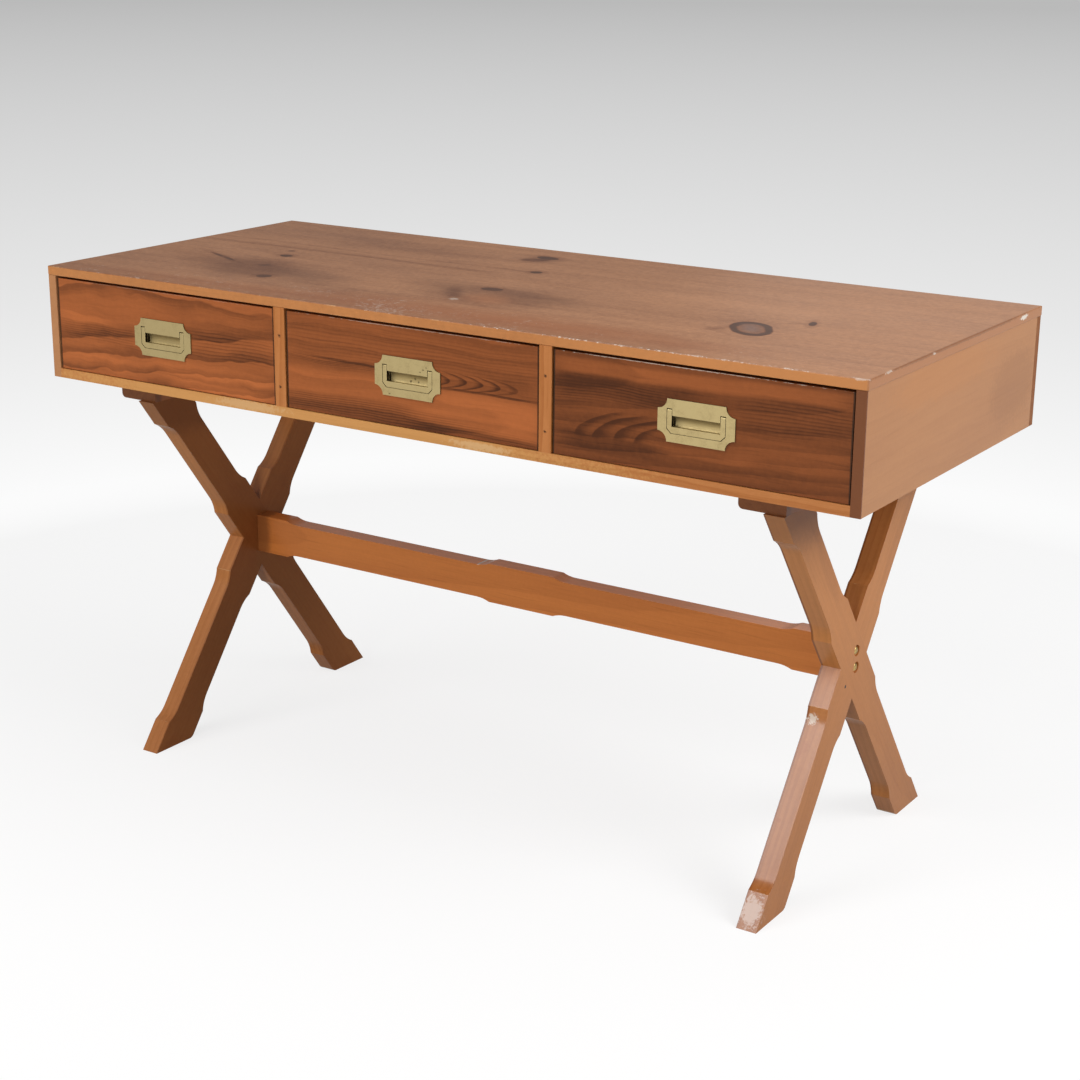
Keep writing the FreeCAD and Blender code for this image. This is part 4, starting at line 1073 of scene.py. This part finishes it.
# Marks on the stretcher, from its left end
STRETCHER_MARKS = [
    Scuff((0.4306, 0.0145, 0.0265), (0.0035, 0.05, 0.0026), 1.0, "chalk", 0.4),
    # Painted shade at the stretcher's left end, beside the leg
    Scuff((0, 0, 0), (0.034, 0.1, 0.1), 0.6, "umber", 0.1),
]

# Marks on the middle pull, from the middle of its face
PULL_MARKS = [
    Scuff((-0.0010, 0.010, -0.00565), (0.0026, 0.004, 0.0022), 0.7, "grime"),
    Scuff((0.0062, 0.010, -0.00165), (0.0020, 0.004, 0.0022), 0.6, "grime"),
    Scuff((0.0116, 0.010, -0.00545), (0.0020, 0.004, 0.0022), 0.6, "grime"),
    Scuff((0.0215, 0, 0.01115), (0.0020, 0.002, 0.0012), 0.5, "grime"),
    Scuff((0.0265, 0, 0.01465), (0.0022, 0.002, 0.0012), 0.6, "grime"),
    Scuff((0.0315, 0, 0.01815), (0.0022, 0.002, 0.0010), 0.5, "grime"),
    Scuff((-0.0293, 0, -0.02435), (0.0026, 0.002, 0.0012), 0.5, "grime"),
]


class DESK_OT_top(bpy.types.Operator):
    """Make the top board with its knots and worn edges"""
    bl_idname = "desk.make_top"
    bl_label = "Make top"

    def execute(self, context):
        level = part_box("top_board")[1].z - EDGE_SOFT
        board = Board(LENGTHWAYS, stain_of("top"), knots=TOP_KNOTS, bands=TOP_BANDS, stains=TOP_STAINS,
                      edge="honey", edge_level=level,
                      scuffs=marks_from("top_board", RIGHT_FRONT_UPPER_SHARES, TOP_MARKS), **CUTS["top"])
        eased("top_board", context.scene.desk_sizes.top_arris, pine("waxed_pine_top", board))
        return {"FINISHED"}


class DESK_OT_case(bpy.types.Operator):
    """Make the boards of the case"""
    bl_idname = "desk.make_case"
    bl_label = "Make case"

    def execute(self, context):
        nails = [((low.x + high.x) / 2, low.y, (low.z + high.z) / 2)
                 for low, high in solids_of("facing_nails")]
        marks = {"bottom": marks_from("bottom_board", FRONT_LOWER_SHARES, BOTTOM_MARKS),
                 "sides": marks_from("right_side_panel", RIGHT_FRONT_LOWER_SHARES, SIDE_MARKS),
                 "dividers": [replace(NAIL_HALO, place=place) for place in nails],
                 "back": [replace(BACK_END, place=tuple(end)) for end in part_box("back_panel")]}
        for kind, (stain, ways, nodes) in CASE_BOARDS.items():
            board = Board(ways, stain_of(stain), scuffs=marks[kind], **CUTS[kind])
            finish = pine(f"waxed_pine_{kind}", board)
            for node in nodes:
                eased(node, context.scene.desk_sizes.case_arris, finish)
        return {"FINISHED"}


class DESK_OT_drawer_fronts(bpy.types.Operator):
    """Make the three figured drawer fronts"""
    bl_idname = "desk.make_drawer_fronts"
    bl_label = "Make drawer fronts"

    def execute(self, context):
        for number, bay in enumerate(BAYS):
            node = f"{bay}_drawer_front"
            board = Board(FACING, stain_of("front"), origin=tuple(sum(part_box(node), Vector()) / 2),
                          seed=number * FRONT_SEED_STEP, scuffs=self.marks(bay, *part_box(node)),
                          bands=FRONT_BANDS[bay], arcs=FRONT_ARCS[bay], **FRONTS[bay], **CUTS["fronts"])
            eased(node, context.scene.desk_sizes.front_arris, pine(f"stained_pine_{bay}_front", board))
        return {"FINISHED"}

    def marks(self, bay, low, high):
        """Painted shade at the ends beside the gaps, and chips along the upper edge."""
        ends = [replace(FRONT_END, place=(x, low.y, high.z)) for x in (low.x, high.x)]
        half = ((high.x - low.x) / 2, *FRONT_CHIP_HALF)
        return [*ends, Scuff(((low.x + high.x) / 2, low.y, high.z), half, FRONT_CHIPS[bay])]


class DESK_OT_drawer_boxes(bpy.types.Operator):
    """Make the bare pine boxes of the drawers and their stops"""
    bl_idname = "desk.make_drawer_boxes"
    bl_label = "Make drawer boxes"

    def execute(self, context):
        arris = context.scene.desk_sizes.box_arris
        finishes = {kind: pine(f"bare_pine_{kind}", Board(ways, stain_of("box"), **CUTS[f"box_{kind}"]))
                    for kind, ways in BOX_WAYS.items()}
        for bay, (part, kind) in itertools.product(BAYS, BOX_PARTS.items()):
            eased(f"{bay}_{part}", arris, finishes[kind])
        eased("drawer_stops", arris, finishes["sides"])
        return {"FINISHED"}


class DESK_OT_trestles(bpy.types.Operator):
    """Make the legs, battens and stretcher"""
    bl_idname = "desk.make_trestles"
    bl_label = "Make trestles"

    def execute(self, context):
        sizes = context.scene.desk_sizes
        low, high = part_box("stretcher")
        middle = (0, 0, (low.z + high.z) / 2)
        for side, (part, lean) in itertools.product(SIDES, LEG_LEANS.items()):
            finish = pine(f"waxed_pine_{side}_{part}", self.leg(side, part, lean, middle))
            eased(f"{side}_{part}", sizes.leg_arris, finish, sizes.leg_knee)
        rail = Board(FACING, stain_of("rail"), origin=middle, **CUTS["stretcher"],
                     scuffs=marks_from("stretcher", LEFT_END_SHARES, STRETCHER_MARKS))
        eased("stretcher", sizes.leg_arris, pine("waxed_pine_stretcher", rail), sizes.leg_knee)
        low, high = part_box("left_batten")
        # Painted shade at the battens' front ends
        ends = [replace(BATTEN_END, place=(0, low.y, (low.z + high.z) / 2))]
        batten = Board(CROSSWAYS, stain_of("frame"), scuffs=ends, **CUTS["battens"])
        finish = pine("waxed_pine_battens", batten)
        for side in SIDES:
            eased(f"{side}_batten", sizes.leg_arris, finish)
        return {"FINISHED"}

    def leg(self, side, part, lean, middle):
        """The board of one leg, with its grain along the leg."""
        along = Vector((0, -lean * math.sin(LEAN_ANGLE), math.cos(LEAN_ANGLE)))
        across = Vector((0, math.cos(LEAN_ANGLE), lean * math.sin(LEAN_ANGLE)))
        foot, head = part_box(f"{side}_{part}")
        inner = min(foot.x, head.x, key=abs)
        # Painted shade on each leg's inner face, and the case's painted shadow across its head
        marks = [replace(LEG_INNER, place=(inner, 0, middle[2]), strength=LEG_INNER_STRENGTHS[side]),
                 replace(LEG_HEAD, place=(inner, 0, head.z))]
        if side == "right":
            marks += marks_from("stretcher", RIGHT_END_SHARES, LEG_MARKS)
        return Board((along, across, X_WAY), stain_of("frame"), origin=middle, scuffs=marks, **LEGS[side],
                     **CUTS["legs"])


class DESK_OT_pulls(bpy.types.Operator):
    """Make the brass plates, bails and pins of the drawers"""
    bl_idname = "desk.make_pulls"
    bl_label = "Make pulls"

    def execute(self, context):
        brass = metal("aged_brass", marks_from("middle_pull_plate", FRONT_MIDDLE_SHARES, PULL_MARKS))
        for bay in BAYS:
            for part in ("pull_plate", "pull_bail"):
                eased(f"{bay}_{part}", context.scene.desk_sizes.brass_arris, brass)
            paint(f"{bay}_pull_pins", brass)
        return {"FINISHED"}


# Bolts and screws

FASTENER_INPUTS = {
    "Head Radius": "NodeSocketFloat", "Head Height": "NodeSocketFloat", "Shank Radius": "NodeSocketFloat",
    "Shank Length": "NodeSocketFloat", "Slot Width": "NodeSocketFloat", "Slot Depth": "NodeSocketFloat",
    "Dome": "NodeSocketBool", "Facing": "NodeSocketVector", "Seed": "NodeSocketInt",
    "Material": "NodeSocketMaterial",
}
HEAD_SIDES = 40
SHANK_SIDES = 20
DOME_RINGS = 20
CUTTER_SHARE = 4.0
SLOT_CUT_SHARE = 2.0
HALF_SHARE = 0.5


class Tree:
    """A geometry node tree written in short calls."""

    def __init__(self, name, inputs):
        self.group = bpy.data.node_groups.new(name, "GeometryNodeTree")
        face = self.group.interface
        face.new_socket("Points", in_out="INPUT", socket_type="NodeSocketGeometry")
        for label, kind in inputs.items():
            face.new_socket(label, in_out="INPUT", socket_type=kind)
        face.new_socket("Geometry", in_out="OUTPUT", socket_type="NodeSocketGeometry")
        self.start = self.group.nodes.new("NodeGroupInput")
        self.end = self.group.nodes.new("NodeGroupOutput")

    def given(self, label):
        return self.start.outputs[label]

    def node(self, kind, settings=(), sockets=(), output=0):
        """An output of a new node."""
        return new_node(self.group, kind, settings, sockets).outputs[output]

    def times(self, value, factor):
        return self.node("ShaderNodeMath", {"operation": "MULTIPLY"}, {0: value, 1: factor})

    def vector(self, x, y, z):
        return self.node("ShaderNodeCombineXYZ", (), {0: x, 1: y, 2: z})

    def raised(self, mesh, height):
        """A mesh moved upwards."""
        spot = self.vector(0, 0, height)
        return self.node("GeometryNodeTransform", (), {"Geometry": mesh, "Translation": spot})

    def cylinder(self, sides, radius, depth, height):
        """A cylinder with its middle at a height."""
        mesh = self.node("GeometryNodeMeshCylinder", (),
                         {"Vertices": sides, "Radius": radius, "Depth": depth})
        return self.raised(mesh, height)

    def block(self, size, height):
        """A block with its middle at a height."""
        return self.raised(self.node("GeometryNodeMeshCube", (), {"Size": size}), height)

    def also(self, output, label, mesh):
        """Feed one more mesh to a socket of the node that has an output."""
        self.group.links.new(mesh, output.node.inputs[label])
        return output


def domed_head(tree, radius, height, wide):
    """The upper half of a ball, as wide and high as the head."""
    ball = tree.node("GeometryNodeMeshUVSphere", (),
                     {"Segments": HEAD_SIDES, "Rings": DOME_RINGS, "Radius": 1.0})
    scale = tree.vector(radius, radius, height)
    ball = tree.node("GeometryNodeTransform", (), {"Geometry": ball, "Scale": scale})
    upper = tree.block(tree.vector(wide, wide, wide), tree.times(wide, HALF_SHARE))
    cap = tree.node("GeometryNodeMeshBoolean", {"operation": "INTERSECT"}, {"Mesh": ball})
    return tree.also(cap, "Mesh", upper)


def slotted_head(tree):
    """A domed or flat head with a driver slot."""
    radius, height = tree.given("Head Radius"), tree.given("Head Height")
    wide = tree.times(radius, CUTTER_SHARE)
    flat = tree.cylinder(HEAD_SIDES, radius, height, tree.times(height, HALF_SHARE))
    dome = domed_head(tree, radius, height, wide)
    head = tree.node("GeometryNodeSwitch", {"input_type": "GEOMETRY"},
                     {"Switch": tree.given("Dome"), "False": flat, "True": dome})
    deep = tree.times(tree.given("Slot Depth"), SLOT_CUT_SHARE)
    bar = tree.block(tree.vector(wide, tree.given("Slot Width"), deep), height)
    return tree.node("GeometryNodeMeshBoolean", {"operation": "DIFFERENCE"}, {"Mesh 1": head, "Mesh 2": bar})


def fastener_tree():
    """Slotted fasteners on points: a head, a shank, and a slot turned at random."""
    tree = Tree("Fasteners", FASTENER_INPUTS)
    depth = tree.given("Shank Length")
    shank = tree.cylinder(SHANK_SIDES, tree.given("Shank Radius"), depth, tree.times(depth, -HALF_SHARE))
    joined = tree.node("GeometryNodeJoinGeometry", (), {"Geometry": slotted_head(tree)})
    tree.also(joined, "Geometry", shank)
    spin = tree.node("FunctionNodeRandomValue", {"data_type": "FLOAT"},
                     {2: 0.0, 3: math.pi, "Seed": tree.given("Seed")}, output=1)
    turn = tree.node("FunctionNodeAxisAngleToRotation", (), {"Axis": Z_WAY, "Angle": spin})
    facing = tree.node("FunctionNodeEulerToRotation", (), {"Euler": tree.given("Facing")})
    rotation = tree.node("FunctionNodeRotateRotation", {"rotation_space": "LOCAL"},
                         {"Rotation": facing, "Rotate By": turn})
    placed = tree.node("GeometryNodeInstanceOnPoints", (),
                       {"Points": tree.given("Points"), "Instance": joined, "Rotation": rotation})
    solid = tree.node("GeometryNodeRealizeInstances", (), {"Geometry": placed})
    dressed = tree.node("GeometryNodeSetMaterial", (),
                        {"Geometry": solid, "Material": tree.given("Material")})
    tree.group.links.new(dressed, tree.end.inputs["Geometry"])
    return tree.group


def fasteners(tree, node, facing, values):
    """Replace a CAD group of fasteners by slotted ones at the same places."""
    way = Vector(facing)
    axis = [abs(part) for part in way].index(1)
    across = (axis + 1) % 3
    boxes = solids_of(node)
    spots = []
    for low, high in boxes:
        spot = (low + high) / 2
        top = high[axis] if way[axis] > 0 else low[axis]
        spot[axis] = top - way[axis] * values["Head Height"]
        spots.append(spot)
    size = boxes[0][1] - boxes[0][0]
    every = {**values, "Head Radius": size[across] / 2, "Shank Length": size[axis] - values["Head Height"],
             "Facing": way.to_track_quat("Z", "Y").to_euler()}
    mesh = bpy.data.meshes.new(f"{node}_made")
    mesh.from_pydata(spots, [], [])
    piece = linked(f"{node}_made", mesh)
    modifier = piece.modifiers.new("Fasteners", "NODES")
    modifier.node_group = tree
    for item in tree.interface.items_tree:
        if item.name in every:
            modifier[item.identifier] = every[item.name]
    plain_mesh(piece)
    if not piece.data.polygons:
        raise RuntimeError(f"{node}: no fastener was made")
    settle(piece, node)


class DESK_OT_fasteners(bpy.types.Operator):
    """Make the bolts, screws, nails and nuts"""
    bl_idname = "desk.make_fasteners"
    bl_label = "Make fasteners"

    def execute(self, context):
        sizes = context.scene.desk_sizes
        bolt, steel, nails = (metal(name) for name in ("dull_bolt_brass", "dull_steel", "dark_nails"))
        tree = fastener_tree()
        wood = {"Head Height": sizes.screw_head, "Shank Radius": sizes.screw_shank, "Dome": False,
                "Slot Width": sizes.slot_width, "Slot Depth": sizes.slot_depth, "Material": steel}
        pull = {**wood, "Head Height": sizes.pull_head, "Shank Radius": sizes.pull_shank, "Dome": True}
        bolts = {**pull, "Head Height": sizes.bolt_head, "Shank Radius": sizes.bolt_shank, "Material": bolt}
        for seed, (side, way) in enumerate(SIDES.items()):
            fasteners(tree, f"{side}_stretcher_bolts", (way, 0, 0), {**bolts, "Seed": seed})
            fasteners(tree, f"{side}_batten_screws", (0, 0, -1), {**wood, "Seed": seed})
            fasteners(tree, f"{side}_leg_screws", (0, 0, 1), {**wood, "Seed": seed})
            paint(f"{side}_barrel_nuts", steel)
        for seed, bay in enumerate(BAYS):
            fasteners(tree, f"{bay}_pull_screws", (0, 1, 0), {**pull, "Seed": seed})
        for node in ("facing_nails", "back_panel_nails"):
            paint(node, nails)
        return {"FINISHED"}


# The studio

CAMERA_PLACE = Vector((1.61208, -2.42831, 1.27215))
CAMERA_RIGHT = Vector((0.836391, 0.54807, 0.008316))
CAMERA_DOWN = Vector((0.168501, -0.242648, -0.955369))
CAMERA_AHEAD = Vector((-0.521592, 0.800463, -0.295299))
FLOOR_REACH = 40.0
FLOOR_SIDES = 96
FADE_RADII = (1.6, 3.9, 25.0)
FADE_BLEND_RADII = (0.9, 1.9)
PAPER_GLOW_SHARE = 0.76
PAPER_BOUNCE_SHARE = 0.33
PAPER_TOOTH_SHARES = (-0.4, 0.4)
PAPER_TOOTH_STRENGTH_SHARE = 0.02
PAPER_DIM_SHARE = 0.9
PAPER_ROUGH_SHARE = 0.9
WHITE = (1, 1, 1)

# Each lamp's setting for its power, its place and its width
LAMPS = {
    "over_lamp": ("over", Vector((0.6, 0.2, 3.2)), 3.0),
    "side_lamp": ("beside", Vector((3.0, 0.2, 2.5)), 2.0),
    "front_lamp": ("fore", Vector((-1.2, -2.5, 2.8)), 2.0),
    "low_lamp": ("low", Vector((0.6, -4.5, 1.1)), 1.6),
    "sheen_lamp": ("sheen", Vector((-0.5, 3.2, 1.3)), 1.6),
}
LAMP_TARGET = Vector((0, 0, 0.5))


def seen_directly(graph):
    """1 for rays from the camera, or seen in a mirror or through glass, and 0 for light on its way."""
    rays = graph.node("ShaderNodeLightPath").socket.node.outputs
    kinds = ("Camera", "Glossy", "Transmission")
    camera, glossy, clear = (Value(graph, rays[f"Is {kind} Ray"]) for kind in kinds)
    return graph.maths("MAXIMUM", camera, graph.maths("MAXIMUM", glossy, clear))


def floor_finish(colours):
    """White paper that takes the desk's shadow and fades to grey far away, for what is seen of it."""
    graph = Graph("studio_paper")
    point = graph.place()
    tooth = graph.noise(point, *PAPER_NOISE).rise(*PAPER_TOOTH_SHARES) * PAPER_TOOTH_STRENGTH_SHARE
    seen = seen_directly(graph)
    tint = graph.mix(tooth, opaque(colours.floor), dimmed(colours.floor, PAPER_DIM_SHARE))
    tint = graph.mix(seen, dimmed(colours.floor, PAPER_BOUNCE_SHARE), tint)
    x, y = (graph.along(point, way) for way in (X_WAY, Y_WAY))
    radius = (x * x + y * y) ** 0.5
    shades = (colours.fade_near, colours.fade_middle, colours.fade_far)
    stops = [(math.log(place, FLOOR_REACH), opaque(shade)) for place, shade in zip(FADE_RADII, shades)]
    fade = graph.node("ShaderNodeValToRGB", {"stops": stops},
                      {"Fac": graph.maths("LOGARITHM", radius, FLOOR_REACH)})
    glow = graph.node("ShaderNodeEmission", (), {"Color": fade, "Strength": 1.0})
    paper = graph.finish({"Base Color": tint}, {"Roughness": PAPER_ROUGH_SHARE, "Specular IOR Level": 0.0})
    lit = graph.maths("MAXIMUM", radius.rise(*FADE_BLEND_RADII), PAPER_GLOW_SHARE)
    both = graph.node("ShaderNodeMixShader", (),
                      {0: seen * lit, 1: Value(graph, graph.shader.outputs[0]), 2: glow})
    graph.tree.links.new(both.socket, graph.tree.nodes["Material Output"].inputs["Surface"])
    return paper


def lay_floor(material):
    """A wide round sheet of paper."""
    turns = [2 * math.pi * step / FLOOR_SIDES for step in range(FLOOR_SIDES)]
    rim = [(FLOOR_REACH * math.cos(turn), FLOOR_REACH * math.sin(turn), 0) for turn in turns]
    mesh = bpy.data.meshes.new("studio_floor")
    mesh.from_pydata(rim, [], [range(FLOOR_SIDES)])
    mesh.materials.append(material)
    sheet = linked("studio_floor", mesh)


def hang_air(context, light, far):
    """Even light all round, seen by the camera as the floor's far grey."""
    world = bpy.data.worlds.new("studio_air")
    world.use_nodes = True
    tree = world.node_tree
    tree.nodes["Background"].inputs["Color"].default_value = opaque(WHITE)
    tree.nodes["Background"].inputs["Strength"].default_value = light
    seen = new_node(tree, "ShaderNodeBackground", (), {"Color": opaque(far)})
    rays = new_node(tree, "ShaderNodeLightPath", (), ())
    mixer = new_node(tree, "ShaderNodeMixShader", (), {
        0: rays.outputs["Is Camera Ray"], 1: tree.nodes["Background"].outputs[0], 2: seen.outputs[0]})
    tree.links.new(mixer.outputs[0], tree.nodes["World Output"].inputs["Surface"])
    context.scene.world = world


def hang_lamp(name, spot, size, power):
    """A large square lamp that looks at the desk."""
    light = bpy.data.lights.new(name, "AREA")
    light.shape = "SQUARE"
    light.size = size
    light.energy = power
    thing = linked(name, light)
    thing.location = spot
    thing.rotation_euler = (LAMP_TARGET - spot).to_track_quat("-Z", "Y").to_euler()
    thing.visible_camera = False


def set_camera(context, studio):
    """A camera at the photograph's place and angle."""
    data = bpy.data.cameras.new("photo_camera")
    data.lens = studio.lens
    data.sensor_width = studio.sensor
    thing = linked("photo_camera", data)
    turn = Matrix((CAMERA_RIGHT, -CAMERA_DOWN, -CAMERA_AHEAD)).transposed()
    thing.matrix_world = Matrix.Translation(CAMERA_PLACE) @ turn.to_4x4()
    context.scene.camera = thing


class DESK_OT_stage(bpy.types.Operator):
    """Set up the floor, air, lamps and camera"""
    bl_idname = "desk.make_stage"
    bl_label = "Make stage"

    def execute(self, context):
        colours, studio = context.scene.desk_colours, context.scene.desk_studio
        lay_floor(floor_finish(colours))
        for name, (power, spot, size) in LAMPS.items():
            hang_lamp(name, spot, size, getattr(studio, power))
        hang_air(context, studio.world, colours.fade_far)
        set_camera(context, studio)
        context.scene.view_settings.view_transform = "Standard"
        return {"FINISHED"}


STEPS = (DESK_OT_stage, DESK_OT_top, DESK_OT_case, DESK_OT_drawer_fronts, DESK_OT_drawer_boxes,
         DESK_OT_trestles, DESK_OT_pulls, DESK_OT_fasteners)
GROUPS = {"desk_colours": DeskColours, "desk_sizes": DeskSizes, "desk_studio": DeskStudio}


class VIEW3D_PT_desk(bpy.types.Panel):
    """Buttons and settings of the desk"""
    bl_label = "Campaign desk"
    bl_space_type = "VIEW_3D"
    bl_region_type = "UI"
    bl_category = "Desk"

    def draw(self, context):
        for step in STEPS:
            self.layout.operator(step.bl_idname)
        for name, group in GROUPS.items():
            column = self.layout.column()
            for key in group.__annotations__:
                column.prop(getattr(context.scene, name), key)


def register():
    """Register the settings, steps and panel."""
    for name, group in GROUPS.items():
        bpy.utils.register_class(group)
        setattr(bpy.types.Scene, name, bpy.props.PointerProperty(type=group))
    for item in (*STEPS, VIEW3D_PT_desk):
        bpy.utils.register_class(item)


def unregister():
    """Take the settings, steps and panel away again."""
    for item in reversed((*STEPS, VIEW3D_PT_desk)):
        bpy.utils.unregister_class(item)
    for name, group in reversed(GROUPS.items()):
        delattr(bpy.types.Scene, name)
        bpy.utils.unregister_class(group)


def main():
    """Make every piece in order."""
    register()
    bpy.ops.desk.make_stage()
    bpy.ops.desk.make_top()
    bpy.ops.desk.make_case()
    bpy.ops.desk.make_drawer_fronts()
    bpy.ops.desk.make_drawer_boxes()
    bpy.ops.desk.make_trestles()
    bpy.ops.desk.make_pulls()
    bpy.ops.desk.make_fasteners()


if __name__ == "__main__":
    main()
